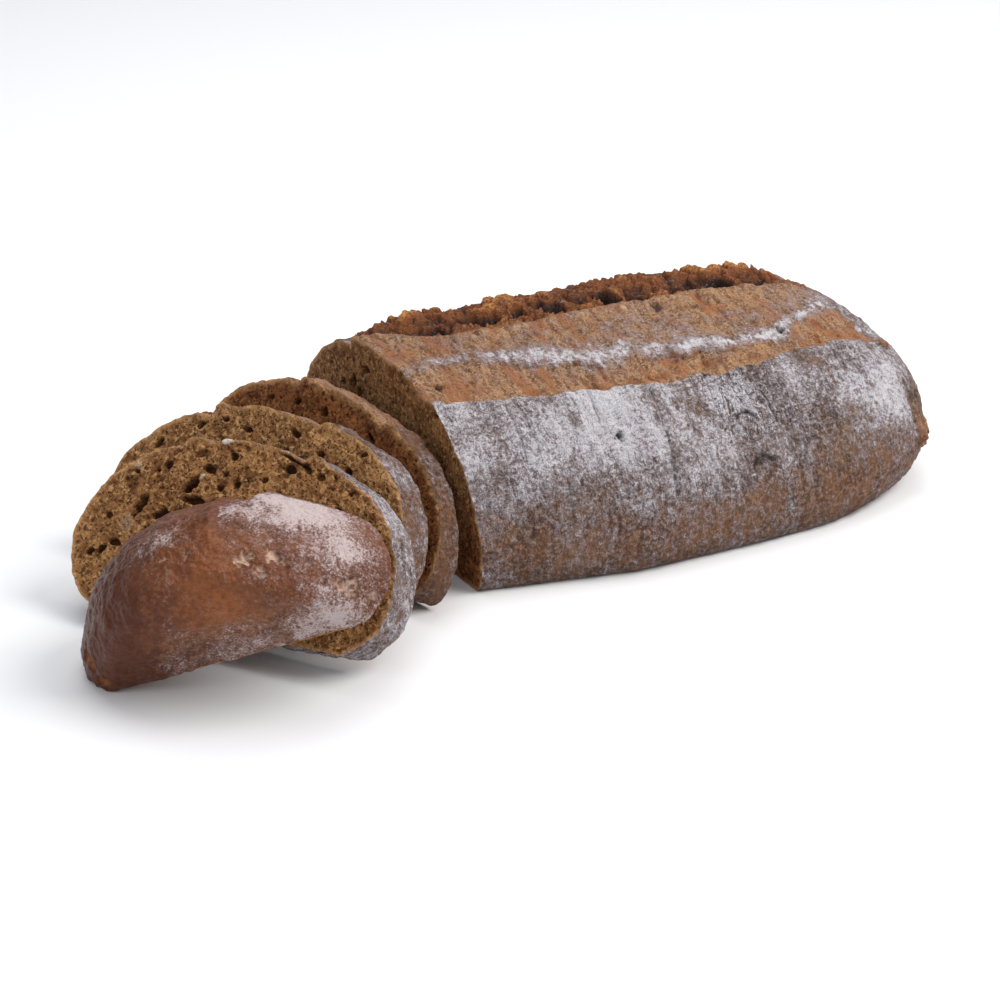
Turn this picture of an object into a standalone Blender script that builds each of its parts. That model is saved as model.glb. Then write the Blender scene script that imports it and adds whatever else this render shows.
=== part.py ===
"""A dark hearth loaf, cut at one end: the loaf, three slices leaning back on one another, and the heel.

Everything is in metres with +Z up. The loaf lies along X, its uncut end at +X and its cut face at -X.
One outline, crust_ring, gives the cross-section anywhere along the uncut loaf. The loaf, the slices and
the heel are lengths of that one shape, and each cut piece is then turned, leaned and rolled to where it fell.
"""

import math

import bpy
import numpy as np
from mathutils import Vector, noise

# The uncut loaf, measured along X from the cut face
TIP_RIGHT = 0.1955
TIP_LEFT = -0.0850
WIDEST_AT = 0.0574
HALF_WIDTH = 0.0804
HEIGHT = 0.0617
CUT_SLANT = math.radians(-1.9)

# How bluntly the two ends close, in plan and in side view
RIGHT_PLAN_POWER = 3.78
RIGHT_SIDE_POWER = 4.19
LEFT_PLAN_POWER = 5.0
LEFT_PLAN_ROOT = 2.0
LEFT_SIDE_POWER = 6.0
LEFT_SIDE_ROOT = 3.0
LEFT_NARROWING = 0.35
LEFT_LOWERING = 0.04

# The flat base and the rounded corner above it, rounder over these lengths towards the two ends
BELLY_HEIGHT = 0.0117
CORNER_SHARE = 0.06
END_BELLY_RISE = 0.010
END_CORNER_SHARE = 0.20
LEFT_END_LENGTH = 0.014
RIGHT_END_START = 0.130
RIGHT_END_LENGTH = 0.065

# The last stretch at each tip, where the base also lifts off the board
END_LIFT = 0.012
RIGHT_TIP_START = 0.165
LEFT_TIP_START = -0.060

# The dome's outline: powers of the cosine and sine, lower for squarer, changed by these towards the ends
DOME_SQUARENESS = 0.97
END_SQUARENESS = 0.15
CROWN_SQUARENESS = 0.98
END_POINTING = 0.06

# Relief stands out from a line at this height along the loaf, and the scores lie above SCORE_FLOOR
AXIS_HEIGHT = 0.0150
AXIS_STRETCH = 1.35
SCORE_FLOOR = 0.030
SCORE_FLOOR_BLEND = 0.015
SCORE_END = 0.178
SCORE_END_BLEND = 0.020

# Slices and heel, as lengths of the uncut loaf
SLICE_FLARE = 0.4
HEEL_SPACING = 3.0

# The two lengthwise scores: the torn gash near the top, and the stepped edge on the front shoulder
GASH_LIP_Y = 0.0035
GASH_LIP_Y_AT_CUT = 0.0260
GASH_LIP_BEND = 0.026
GASH_BACK_Y = 0.0400
GASH_WIDTH_AT_CUT = 0.008
GASH_WIDENING = 0.020
GASH_LIP_SHARE = 0.12
GASH_FALL_POWER = 1.2
GASH_DEPTH = 0.0050
GASH_DEPTH_AT_CUT = 0.0026
GASH_DEEPENING = 0.030
GASH_LIP_RISE = 0.0014
GASH_LIP_INSET = 0.0025
GASH_LIP_WIDTH = 0.0035
CRAG_HEIGHT = 0.0026
CRAG_SIZE = 0.0090
CRAG_NEAR_BLEND = 0.003
CRAG_FAR_BLEND = 0.012
STEP_Y_AT_CUT = -0.0320
STEP_Y_MIDDLE = -0.0470
STEP_Y_SLICES = -0.0200
STEP_BOW_LENGTH = 0.190
STEP_SLICE_BLEND = 0.012
STEP_DEPTH = 0.0013
STEP_DEPTH_SLICES = 0.0028
STEP_DEPTH_BLEND = 0.006
STEP_EDGE = 0.003
STEP_FADE = 0.011
STEP_LIP_SHARE = 0.4
STEP_LIP_INSET = 0.002
CRUST_SWELL = 0.0007
CRUST_SWELL_SIZE = 0.0260
SWELL_FLOOR = 0.004
SWELL_BLEND = 0.010

# Knobs of torn crust: distance along the loaf, angle up the section, radius, height
KNOB_ARM = 0.055
KNOBS = (
    (0.1790, math.radians(58.0), 0.0030, 0.0022),
    (0.1820, math.radians(3.0), 0.0060, 0.0042),
    (-0.0680, math.radians(168.0), 0.0065, 0.0038),
    (-0.0620, math.radians(177.0), 0.0050, 0.0030),
)

# Mesh density
DOME_STEPS = 56
CORNER_STEPS = 3
BASE_STEPS = 6
LOAF_RINGS_LEFT = 16
LOAF_RINGS_RIGHT = 36
SLICE_RINGS = 4
HEEL_RINGS = 16
TIP_STOP = 0.985
TIP_REACH = 0.25
SHARP_DEGREES = 50.0

# Moves everything so that the origin is under the middle of the whole arrangement
FRAME_SHIFT = (-0.0293, 0.0192)

# The slices: where along the loaf their section is taken, the share of its height that it stands to,
# their thickness, where the middle of the face's base lies, and its roll, lean and turn in degrees
SLICE_PLACES = (
    ("slice_front", -0.0340, 1.045, 0.0120, (-0.0920, -0.0664), (-2.5, 36.0, 35.6)),
    ("slice_middle", -0.0270, 0.98, 0.0120, (-0.0745, -0.0412), (-5.8, 33.5, 26.0)),
    ("slice_back", -0.0081, 0.852, 0.0090, (-0.0385, -0.0107), (1.1, 25.4, 13.0)),
)
# The heel, in the same order but without a thickness
HEEL_PLACE = ("heel", -0.0480, 0.93, (-0.0970, -0.0974), (-33.2, 51.9, 29.9))

CRUST_COLOUR = (0.150, 0.070, 0.035, 1.0)
CRUMB_COLOUR = (0.235, 0.130, 0.055, 1.0)
CRUST_ROUGHNESS = 0.80
CRUMB_ROUGHNESS = 0.90


def ease(t):
    """0 to 1 with flat ends."""
    t = np.clip(t, 0.0, 1.0)
    return t * t * (3.0 - 2.0 * t)


def half_width(x):
    """Half the loaf's width at x: widest at WIDEST_AT, closing bluntly at both tips."""
    left = np.clip((WIDEST_AT - x) / (WIDEST_AT - TIP_LEFT), 0.0, 1.0)
    right = np.clip((x - WIDEST_AT) / (TIP_RIGHT - WIDEST_AT), 0.0, 1.0)
    to_left = (1.0 - LEFT_NARROWING * left) * (1.0 - left**LEFT_PLAN_POWER) ** (1.0 / LEFT_PLAN_ROOT)
    to_right = (1.0 - right**RIGHT_PLAN_POWER) ** (1.0 / RIGHT_PLAN_POWER)
    return HALF_WIDTH * np.where(x < WIDEST_AT, to_left, to_right)


def crown(x):
    """The loaf's height at x."""
    left = np.clip((WIDEST_AT - x) / (WIDEST_AT - TIP_LEFT), 0.0, 1.0)
    right = np.clip((x - WIDEST_AT) / (TIP_RIGHT - WIDEST_AT), 0.0, 1.0)
    to_left = (1.0 - LEFT_LOWERING * left) * (1.0 - left**LEFT_SIDE_POWER) ** (1.0 / LEFT_SIDE_ROOT)
    to_right = (1.0 - right**RIGHT_SIDE_POWER) ** (1.0 / RIGHT_SIDE_POWER)
    return HEIGHT * np.where(x < WIDEST_AT, to_left, to_right)


def end_share(x):
    """0 along the middle of the loaf, 1 near its two ends, where the base corners grow round."""
    return np.maximum(ease(-x / LEFT_END_LENGTH), ease((x - RIGHT_END_START) / RIGHT_END_LENGTH))


def tip_share(x):
    """0 until close to a tip, 1 at the tip, as a quarter circle."""
    near_right = np.clip((x - RIGHT_TIP_START) / (TIP_RIGHT - RIGHT_TIP_START), 0.0, 1.0)
    near_left = np.clip((x - LEFT_TIP_START) / (TIP_LEFT - LEFT_TIP_START), 0.0, 1.0)
    near = np.maximum(near_right, near_left)
    return 1.0 - np.sqrt(1.0 - near * near)


def gash_lip(x):
    """Y of the gash's raised near edge."""
    return GASH_LIP_Y + (GASH_LIP_Y_AT_CUT - GASH_LIP_Y) * (1.0 - ease(x / GASH_LIP_BEND))


def gash_back(x):
    """Y of the gash's far edge: close behind the lip on the slices, far back on the loaf."""
    widening = GASH_BACK_Y - GASH_LIP_Y - GASH_WIDTH_AT_CUT
    return gash_lip(x) + GASH_WIDTH_AT_CUT + widening * ease(x / GASH_WIDENING)


def step_line(x):
    """Y of the stepped edge on the front shoulder."""
    bow = np.sin(math.pi * np.clip(x / STEP_BOW_LENGTH, 0.0, 1.0))
    on_loaf = STEP_Y_AT_CUT + (STEP_Y_MIDDLE - STEP_Y_AT_CUT) * bow
    near_cut = ease((x + STEP_SLICE_BLEND) / STEP_SLICE_BLEND)
    return np.where(x < 0.0, STEP_Y_SLICES + (STEP_Y_AT_CUT - STEP_Y_SLICES) * near_cut, on_loaf)


def grain(points, size, octaves):
    """Smooth seedless noise between -1 and 1, its lumps about `size` across."""
    scaled = points / size
    return np.array([noise.fractal(Vector(p), 1.0, 2.0, octaves) for p in scaled.tolist()])


def relief(x, y, z, angle):
    """How far the crust stands out from the plain dome, in metres."""
    points = np.stack([x, y, z], axis=-1)
    on_top = ease((z - SCORE_FLOOR) / SCORE_FLOOR_BLEND)
    along = ease((SCORE_END - x) / SCORE_END_BLEND)

    lip, back = gash_lip(x), gash_back(x)
    across = np.clip((y - lip) / (back - lip), 0.0, 1.0)
    inside = ease(across / GASH_LIP_SHARE) * (1.0 - across) ** GASH_FALL_POWER
    depth = GASH_DEPTH_AT_CUT + (GASH_DEPTH - GASH_DEPTH_AT_CUT) * ease(x / GASH_DEEPENING)
    torn = ease((y - lip) / CRAG_NEAR_BLEND) * ease((back - y) / CRAG_FAR_BLEND + 0.5)
    crags = CRAG_HEIGHT * grain(points, CRAG_SIZE, 3) * torn * ease(x / GASH_WIDENING)
    rim = GASH_LIP_RISE * np.exp(-(((y - lip + GASH_LIP_INSET) / GASH_LIP_WIDTH) ** 2))
    height = on_top * along * (rim - depth * inside + crags)

    step = step_line(x)
    above = np.clip(y - step, 0.0, None)
    on_loaf = ease((x + STEP_DEPTH_BLEND) / STEP_DEPTH_BLEND)
    drop = STEP_DEPTH_SLICES + (STEP_DEPTH - STEP_DEPTH_SLICES) * on_loaf
    fall = ease((y - step) / STEP_EDGE) * np.exp(-above / STEP_FADE)
    lip_below = STEP_LIP_SHARE * np.exp(-(((y - step + STEP_LIP_INSET) / STEP_EDGE) ** 2))
    height += on_top * along * drop * (lip_below - fall)

    swell = CRUST_SWELL * grain(points, CRUST_SWELL_SIZE, 2)
    height += swell * ease((z - SWELL_FLOOR) / SWELL_BLEND)

    for knob_x, knob_angle, radius, rise in KNOBS:
        arc = (angle - knob_angle) * KNOB_ARM
        height += rise * np.exp(-(((x - knob_x) ** 2 + arc**2) / radius**2))
    return height


def crust_ring(x):
    """The closed outline of the uncut loaf's section at x, as points from the front base corner on.

    The dome is y = -a|cos t|^m, z = b + (h - b)|sin t|^k for t from 0 to pi, and below the belly
    height b a quarter ellipse turns in to the flat base.
    """
    ends = end_share(x)
    a, h = half_width(x), crown(x)
    belly = (BELLY_HEIGHT + END_BELLY_RISE * ends) * h / HEIGHT
    share = CORNER_SHARE + END_CORNER_SHARE * ends

    t = np.linspace(0.0, math.pi, DOME_STEPS + 1)
    cos_t, sin_t = np.cos(t), np.sin(t)
    dome_y = -a * np.sign(cos_t) * np.abs(cos_t) ** (DOME_SQUARENESS - END_SQUARENESS * ends)
    dome_z = belly + (h - belly) * np.abs(sin_t) ** (CROWN_SQUARENESS + END_POINTING * ends)

    w = np.linspace(0.0, math.pi / 2.0, CORNER_STEPS + 1)[:-1]
    corner_y = a * (1.0 - share) + a * share * np.sin(w)
    corner_z = belly * (1.0 - np.cos(w))

    base_y = np.linspace(corner_y[0], -corner_y[0], BASE_STEPS + 1)[1:-1]
    y = np.concatenate([-corner_y, dome_y, corner_y[::-1], base_y])
    z = np.concatenate([corner_z, dome_z, corner_z[::-1], 0.0 * base_y])
    angle = np.concatenate([0.0 * w, t, math.pi + 0.0 * w, 0.0 * base_y])

    out = relief(np.full_like(y, x), y, z, angle) * (z > 0.0)
    away_y, away_z = y, (z - AXIS_HEIGHT) * AXIS_STRETCH
    length = np.hypot(away_y, away_z) + 1e-9
    y = y + out * away_y / length
    z = np.maximum(z + out * away_z / length, 0.0)
    z = z + END_LIFT * tip_share(x) * (1.0 - z / HEIGHT)
    return np.stack([np.full_like(y, x), y, z], axis=-1)


def blunt_stations(start, tip, count, power):
    """Places from start to just short of a tip, closer together where the loaf closes."""
    w = np.linspace(0.0, TIP_STOP * math.pi / 2.0, count)
    return start + (tip - start) * np.sin(w) ** (2.0 / power)


def loaf_rings():
    """Rings from the cut face, which is a little slanted, to the uncut end."""
    left = np.linspace(0.0, WIDEST_AT, LOAF_RINGS_LEFT)[:-1]
    right = blunt_stations(WIDEST_AT, TIP_RIGHT, LOAF_RINGS_RIGHT, RIGHT_PLAN_POWER)
    rings = []
    for x in np.concatenate([left, right]):
        ring = crust_ring(x)
        ring[:, 0] += math.tan(CUT_SLANT) * ring[:, 1] * ease(1.0 - x / WIDEST_AT)
        rings.append(ring)
    return rings


def slice_rings(cut, height_share, thick):
    """Rings of the slice whose front face was cut at x = cut, measured from that face."""
    rings = []
    for depth in np.linspace(0.0, thick, SLICE_RINGS):
        ring = crust_ring(cut + SLICE_FLARE * depth) * np.array([1.0, 1.0, height_share])
        ring[:, 0] = depth
        rings.append(ring)
    return rings


def heel_rings(cut, height_share):
    """Rings from the rounded tip back to the heel's cut face, measured from that face."""
    rings = []
    for x in blunt_stations(cut, TIP_LEFT, HEEL_RINGS, HEEL_SPACING)[::-1]:
        ring = crust_ring(x) * np.array([1.0, 1.0, height_share])
        ring[:, 0] -= cut
        rings.append(ring)
    return rings


def skin(name, rings, pointed, material):
    """One closed solid through the rings. An end in `pointed` closes on a point, any other is a flat cut."""
    size = len(rings[0])
    points = [tuple(p) for ring in rings for p in ring]
    faces = []
    for i in range(len(rings) - 1):
        for j in range(size):
            k = (j + 1) % size
            faces.append((i * size + j, (i + 1) * size + j, (i + 1) * size + k, i * size + k))
    for end, ring, inner in (("left", rings[0], rings[1]), ("right", rings[-1], rings[-2])):
        first = 0 if end == "left" else (len(rings) - 1) * size
        loop = [first + j for j in range(size)]
        if end == "right":
            loop.reverse()
        if end in pointed:
            beyond = TIP_REACH * (ring[:, 0] - inner[:, 0]).mean()
            points.append(tuple(ring.mean(axis=0) + np.array([beyond, 0.0, 0.0])))
            faces += [(loop[j], loop[(j + 1) % size], len(points) - 1) for j in range(size)]
        else:
            faces.append(tuple(loop))
    mesh = bpy.data.meshes.new(name)
    mesh.from_pydata(points, [], faces)
    mesh.materials.append(material)
    mesh.shade_smooth()
    mesh.set_sharp_from_angle(angle=math.radians(SHARP_DEGREES))
    piece = bpy.data.objects.new(name, mesh)
    bpy.context.scene.collection.objects.link(piece)
    return piece


def baked(name, colour, roughness):
    """A matt Principled material."""
    material = bpy.data.materials.new(name)
    material.use_nodes = True
    shader = material.node_tree.nodes["Principled BSDF"]
    shader.inputs["Base Color"].default_value = colour
    shader.inputs["Roughness"].default_value = roughness
    shader.inputs["Metallic"].default_value = 0.0
    return material


def lay_down(piece, ground, turns):
    """Rolls, leans and turns a cut piece about the middle of its face's base, and rests it on z = 0."""
    piece.rotation_euler = [math.radians(v) for v in turns]
    bpy.context.view_layer.update()
    lowest = min((piece.matrix_world @ v.co).z for v in piece.data.vertices)
    piece.location = Vector((ground[0] + FRAME_SHIFT[0], ground[1] + FRAME_SHIFT[1], -lowest))


def main():
    for old in list(bpy.data.objects):
        bpy.data.objects.remove(old, do_unlink=True)
    crust = baked("crust", CRUST_COLOUR, CRUST_ROUGHNESS)
    crumb = baked("crumb", CRUMB_COLOUR, CRUMB_ROUGHNESS)

    loaf = skin("loaf", loaf_rings(), ("right",), crust)
    loaf.location = Vector((FRAME_SHIFT[0], FRAME_SHIFT[1], 0.0))

    for name, cut, height_share, thick, ground, turns in SLICE_PLACES:
        lay_down(skin(name, slice_rings(cut, height_share, thick), (), crumb), ground, turns)

    name, cut, height_share, ground, turns = HEEL_PLACE
    lay_down(skin(name, heel_rings(cut, height_share), ("left",), crust), ground, turns)


main()
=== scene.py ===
# Dark hearth loaf, part sliced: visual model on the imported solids.
# Every surface is a grid of points worked out from the loaf's section, then given relief and masks.
import functools
import itertools
import math

import bpy
import numpy as np
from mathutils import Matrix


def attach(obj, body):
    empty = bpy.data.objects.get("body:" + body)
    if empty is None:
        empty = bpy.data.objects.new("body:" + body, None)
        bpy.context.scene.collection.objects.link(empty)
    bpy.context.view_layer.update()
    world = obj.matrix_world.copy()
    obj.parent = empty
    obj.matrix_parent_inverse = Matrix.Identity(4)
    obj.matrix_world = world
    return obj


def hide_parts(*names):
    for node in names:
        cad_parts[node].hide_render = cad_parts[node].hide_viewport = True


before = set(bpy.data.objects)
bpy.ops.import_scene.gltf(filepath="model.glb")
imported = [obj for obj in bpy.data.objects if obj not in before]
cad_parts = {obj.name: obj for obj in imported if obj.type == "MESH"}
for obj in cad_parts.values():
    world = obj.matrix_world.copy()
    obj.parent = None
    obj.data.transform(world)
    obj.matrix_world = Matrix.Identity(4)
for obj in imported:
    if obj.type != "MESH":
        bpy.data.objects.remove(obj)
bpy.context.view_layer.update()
print("stage: frame loaded")

frameShift = np.array([-0.0293, 0.0192, 0.0])

# The uncut loaf along X from the cut face, in metres, with the powers that close its ends
loaf = {
    "tipRight": 0.1955, "tipLeft": -0.0850, "widestAt": 0.0574, "halfWidth": 0.0804, "height": 0.0617,
    "slant": math.radians(-1.9), "rightPlan": 3.78, "rightSide": 4.19, "leftPlan": 5.0, "leftSide": 6.0,
    "leftNarrowing": 0.35, "leftLowering": 0.04, "belly": 0.0117, "corner": 0.06, "endBelly": 0.010,
    "endCorner": 0.20, "endLift": 0.012, "square": 0.97, "endSquare": 0.15, "crown": 0.98, "endPoint": 0.06,
}


def ease(t):
    t = np.clip(t, 0.0, 1.0)
    return t * t * (3.0 - 2.0 * t)


def bell(distance, width):
    return np.exp(-((distance / width) ** 2))


# A fixed random number from 0 to 1 for each whole-number cell
def cellRandom(ix, iy, iz, seed):
    n = (ix * 374761393 + iy * 668265263 + iz * 1103515245 + seed * 974634777) & 0xFFFFFFFF
    n = ((n ^ (n >> 13)) * 1274126177) & 0xFFFFFFFF
    n = ((n ^ (n >> 16)) * 1103515245) & 0xFFFFFFFF
    return (n ^ (n >> 15)) / 4294967296.0


# Noise between -1 and 1: cell corners' random numbers blended by a quintic, summed over octaves
def grain(points, size, octaves=3, seed=1, fall=0.5):
    total, weight, scaled = 0.0, 1.0, points / size
    for octave in range(octaves):
        base = np.floor(scaled).astype(np.int64)
        part = scaled - base
        blend = part**3 * (part * (part * 6.0 - 15.0) + 10.0)
        value = 0.0
        for dx, dy, dz in itertools.product((0, 1), repeat=3):
            share = (
                (blend[..., 0] if dx else 1.0 - blend[..., 0])
                * (blend[..., 1] if dy else 1.0 - blend[..., 1])
                * (blend[..., 2] if dz else 1.0 - blend[..., 2])
            )
            corner = (base[..., 0] + dx, base[..., 1] + dy, base[..., 2] + dz)
            value = value + share * cellRandom(*corner, seed + octave)
        total = total + weight * (2.0 * value - 1.0)
        scaled, weight = scaled * 2.03 + 17.3, weight * fall
    return total


# Sharp-crested noise from 0 to 1: one minus the absolute value of plain noise, summed over octaves
def ridges(points, size, octaves=3, seed=1):
    total, weight, norm = 0.0, 1.0, 0.0
    for octave in range(octaves):
        total = total + weight * (1.0 - np.abs(grain(points, size * 0.5**octave, 1, seed + 7 * octave))) ** 2
        norm, weight = norm + weight, weight * 0.5
    return total / norm


# Distances to the nearest and next nearest of one scattered centre a cell, and the nearest one's number
def bubbles(points, size, seed):
    scaled = points / size
    base = np.floor(scaled).astype(np.int64)
    first = np.full(points.shape[:-1], 9.0)
    second, owner = first.copy(), np.zeros_like(first)
    for step in itertools.product((-1, 0, 1), repeat=3):
        cell = base + np.array(step)
        away = 0.0
        for axis in range(3):
            centre = cell[..., axis] + cellRandom(cell[..., 0], cell[..., 1], cell[..., 2], seed + axis)
            away = away + (centre - scaled[..., axis]) ** 2
        away = np.sqrt(away)
        nearer = away < first
        second = np.where(nearer, first, np.minimum(second, away))
        owner = np.where(nearer, cellRandom(cell[..., 0], cell[..., 1], cell[..., 2], seed + 5), owner)
        first = np.where(nearer, away, first)
    return first * size, second * size, owner


def stirred(points, size, amount, seed):
    return points + amount * np.stack([grain(points, size, 2, seed + 11 * k) for k in range(3)], axis=-1)


def halfWidth(x):
    left = np.clip((loaf["widestAt"] - x) / (loaf["widestAt"] - loaf["tipLeft"]), 0.0, 1.0)
    right = np.clip((x - loaf["widestAt"]) / (loaf["tipRight"] - loaf["widestAt"]), 0.0, 1.0)
    toLeft = (1.0 - loaf["leftNarrowing"] * left) * (1.0 - left ** loaf["leftPlan"]) ** 0.5
    toRight = (1.0 - right ** loaf["rightPlan"]) ** (1.0 / loaf["rightPlan"])
    return loaf["halfWidth"] * np.where(x < loaf["widestAt"], toLeft, toRight)


def crownHeight(x):
    left = np.clip((loaf["widestAt"] - x) / (loaf["widestAt"] - loaf["tipLeft"]), 0.0, 1.0)
    right = np.clip((x - loaf["widestAt"]) / (loaf["tipRight"] - loaf["widestAt"]), 0.0, 1.0)
    toLeft = (1.0 - loaf["leftLowering"] * left) * (1.0 - left ** loaf["leftSide"]) ** (1.0 / 3.0)
    toRight = (1.0 - right ** loaf["rightSide"]) ** (1.0 / loaf["rightSide"])
    return loaf["height"] * np.where(x < loaf["widestAt"], toLeft, toRight)


def endShare(x):
    return np.maximum(ease(-x / 0.014), ease((x - 0.130) / 0.065))


def tipShare(x):
    near = np.maximum(np.clip((x - 0.165) / 0.0305, 0.0, 1.0), np.clip((-0.060 - x) / 0.025, 0.0, 1.0))
    return 1.0 - np.sqrt(1.0 - near * near)


def gashLip(x):
    return 0.0035 + 0.0225 * (1.0 - ease(x / 0.026))


def gashBack(x):
    return gashLip(x) + 0.008 + 0.0285 * ease(x / 0.020)


def stepLine(x):
    bow = np.sin(math.pi * np.clip(x / 0.190, 0.0, 1.0))
    return np.where(x < 0.0, -0.020 - 0.012 * ease((x + 0.012) / 0.012), -0.032 - 0.015 * bow)


cornerSteps = 30


# The section before relief: y = -a|cos t|^m, z = b + (h - b)|sin t|^k for t from 0 to pi, a the half width,
# h the height and b the belly, with a quarter ellipse below each side turning in to the flat base
def plainSection(stations, domeSteps=900):
    x = np.asarray(stations, float)[:, None]
    ends, a, h = endShare(x), halfWidth(x), crownHeight(x)
    belly = (loaf["belly"] + loaf["endBelly"] * ends) * h / loaf["height"]
    share = loaf["corner"] + loaf["endCorner"] * ends
    t = np.linspace(0.0, math.pi, domeSteps)[None, :]
    cosT, sinT = np.cos(t), np.sin(t)
    domeY = -a * np.sign(cosT) * np.abs(cosT) ** (loaf["square"] - loaf["endSquare"] * ends)
    domeZ = belly + (h - belly) * np.abs(sinT) ** (loaf["crown"] + loaf["endPoint"] * ends)
    w = np.linspace(0.0, math.pi / 2.0, cornerSteps + 1)[None, :-1]
    cornerY = a * (1.0 - share) + a * share * np.sin(w)
    cornerZ = belly * (1.0 - np.cos(w))
    y = np.concatenate([-cornerY, domeY, cornerY[:, ::-1]], axis=1)
    z = np.concatenate([cornerZ, domeZ, cornerZ[:, ::-1]], axis=1)
    angle = np.concatenate([0.0 * w, t, math.pi + 0.0 * w], axis=1) + 0.0 * x
    return y, z, angle


# Distance along each row from its start
def walkedAlong(y, z):
    step = np.hypot(np.diff(y, axis=1), np.diff(z, axis=1))
    return np.concatenate([np.zeros((len(y), 1)), np.cumsum(step, axis=1)], axis=1)


# Each section's arc is walked evenly between two shares of its length, so a grid line can follow a score
def sectionGrid(stations, fromShare, toShare, count):
    y, z, angle = plainSection(stations)
    walked = walkedAlong(y, z)
    walked /= walked[:, -1:]
    wanted = fromShare[:, None] + (toShare - fromShare)[:, None] * np.linspace(0.0, 1.0, count)[None, :]
    rows = np.array([
        [np.interp(wanted[i], walked[i], values[i]) for values in (y, z, angle)] for i in range(len(y))
    ])
    x = np.repeat(np.asarray(stations, float)[:, None], count, axis=1)
    return x, rows[:, 0], rows[:, 1], rows[:, 2]


# The share of its arc at which each section reaches a given y on the dome
def shareAtY(stations, wantedY):
    y, z, angle = plainSection(stations)
    walked = walkedAlong(y, z)
    walked /= walked[:, -1:]
    dome = slice(cornerSteps, -cornerSteps)
    return np.array([np.interp(wantedY[i], y[i, dome], walked[i, dome]) for i in range(len(y))])


# Main relief, as in the solids: a raised lip, the torn gash behind it, and the stepped edge on the shoulder
def mainRelief(x, y, z, angle):
    points = np.stack([x, y, z], axis=-1)
    onTop, along = ease((z - 0.030) / 0.015), ease((0.178 - x) / 0.020)
    lip, back = gashLip(x), gashBack(x)
    across = np.clip((y - lip) / (back - lip), 0.0, 1.0)
    inside = ease(across / 0.12) * (1.0 - across) ** 1.2
    depth = 0.0026 + 0.0024 * ease(x / 0.030)
    rim = 0.0014 * bell(y - lip + 0.0025, 0.0035)
    height = onTop * along * (rim - depth * inside)
    step = stepLine(x)
    drop = 0.0028 - 0.0015 * ease((x + 0.006) / 0.006)
    fall = ease((y - step) / 0.003) * np.exp(-np.clip(y - step, 0.0, None) / 0.011)
    height += onTop * along * drop * (0.4 * bell(y - step + 0.002, 0.003) - fall)
    return height + 0.0007 * grain(points, 0.026, 2, 3) * ease((z - 0.004) / 0.010)


def raised(x, y, z, out, heightShare=1.0):
    awayY, awayZ = y, (z - 0.015) * 1.35
    length = np.hypot(awayY, awayZ) + 1e-9
    y = y + out * awayY / length
    z = np.maximum(z + out * awayZ / length, 0.0)
    z = z + loaf["endLift"] * tipShare(x) * (1.0 - z / loaf["height"])
    return np.stack([x, y, z * heightShare], axis=-1)


# A place on the dome from its distance along the loaf and its angle up the section in degrees
def spot(x, degrees):
    y, z, angle = (values[0, cornerSteps - 1:1 - cornerSteps] for values in plainSection([x]))
    t = math.radians(degrees)
    return np.array([x, np.interp(t, angle, y), np.interp(t, angle, z)])


def srgb(red, green, blue):
    values = np.array([red, green, blue]) / 255.0
    values = np.where(values <= 0.04045, values / 12.92, ((values + 0.055) / 1.055) ** 2.4)
    return (*values.tolist(), 1.0)


# A grid of points as one mesh of quads, with a mask a vertex for each shader input
def sheet(name, grid, masks, material, flip=False, wrap=False):
    rows, columns = grid.shape[:2]
    index = np.arange(rows * columns).reshape(rows, columns)
    if wrap:
        index = np.concatenate([index, index[:, :1]], axis=1)
    quads = np.stack([index[:-1, :-1], index[1:, :-1], index[1:, 1:], index[:-1, 1:]], axis=-1).reshape(-1, 4)
    if flip:
        quads = quads[:, ::-1]
    mesh = bpy.data.meshes.new(name)
    mesh.from_pydata(grid.reshape(-1, 3), [], quads)
    for key, values in masks.items():
        values = np.broadcast_to(values, (rows, columns)).astype(np.float32).reshape(-1)
        mesh.attributes.new(key, "FLOAT", "POINT").data.foreach_set("value", values)
    mesh.materials.append(material)
    mesh.shade_smooth()
    piece = bpy.data.objects.new(name, mesh)
    bpy.context.scene.collection.objects.link(piece)
    print("stage:", name, len(quads) * 2, "triangles")
    return piece


def put(tree, kind, inputs, **settings):
    node = tree.nodes.new(kind)
    for key, value in settings.items():
        setattr(node, key, value)
    for key, value in inputs.items():
        if isinstance(value, bpy.types.NodeSocket):
            tree.links.new(value, node.inputs[key])
        else:
            node.inputs[key].default_value = value
    return node


def calc(tree, operation, a, b=0.0):
    return put(tree, "ShaderNodeMath", {0: a, 1: b}, operation=operation).outputs[0]


def times(tree, a, b):
    return calc(tree, "MULTIPLY", a, b)


# Sum of values, each times its weight
def weighed(tree, total, parts):
    for value, weight in parts:
        total = calc(tree, "ADD", total, times(tree, value, weight))
    return total


def ramped(tree, value, low, high, outLow=0.0, outHigh=1.0):
    inputs = {"Value": value, "From Min": low, "From Max": high, "To Min": outLow, "To Max": outHigh}
    return put(tree, "ShaderNodeMapRange", inputs, interpolation_type="SMOOTHSTEP").outputs[0]


def blended(tree, factor, a, b, mode="MIX"):
    return put(tree, "ShaderNodeMix", {0: factor, 6: a, 7: b}, data_type="RGBA", blend_type=mode).outputs[2]


# Colours laid over each other, each by its own share
def layered(tree, colour, layers):
    for share, over in layers:
        colour = blended(tree, share, colour, over)
    return colour


def noiseAt(tree, place, scale, detail=4.0, roughness=0.6, warp=0.0):
    inputs = {"Vector": place, "Scale": scale, "Detail": detail, "Roughness": roughness, "Distortion": warp}
    return put(tree, "ShaderNodeTexNoise", inputs).outputs[0]


# Thin lines where noise crosses its middle value
def creases(tree, place, scale, warp, width):
    off = calc(tree, "SUBTRACT", noiseAt(tree, place, scale, 2.0, 0.5, warp), 0.5)
    return ramped(tree, calc(tree, "ABSOLUTE", off), 0.0, width, 1.0, 0.0)


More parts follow.
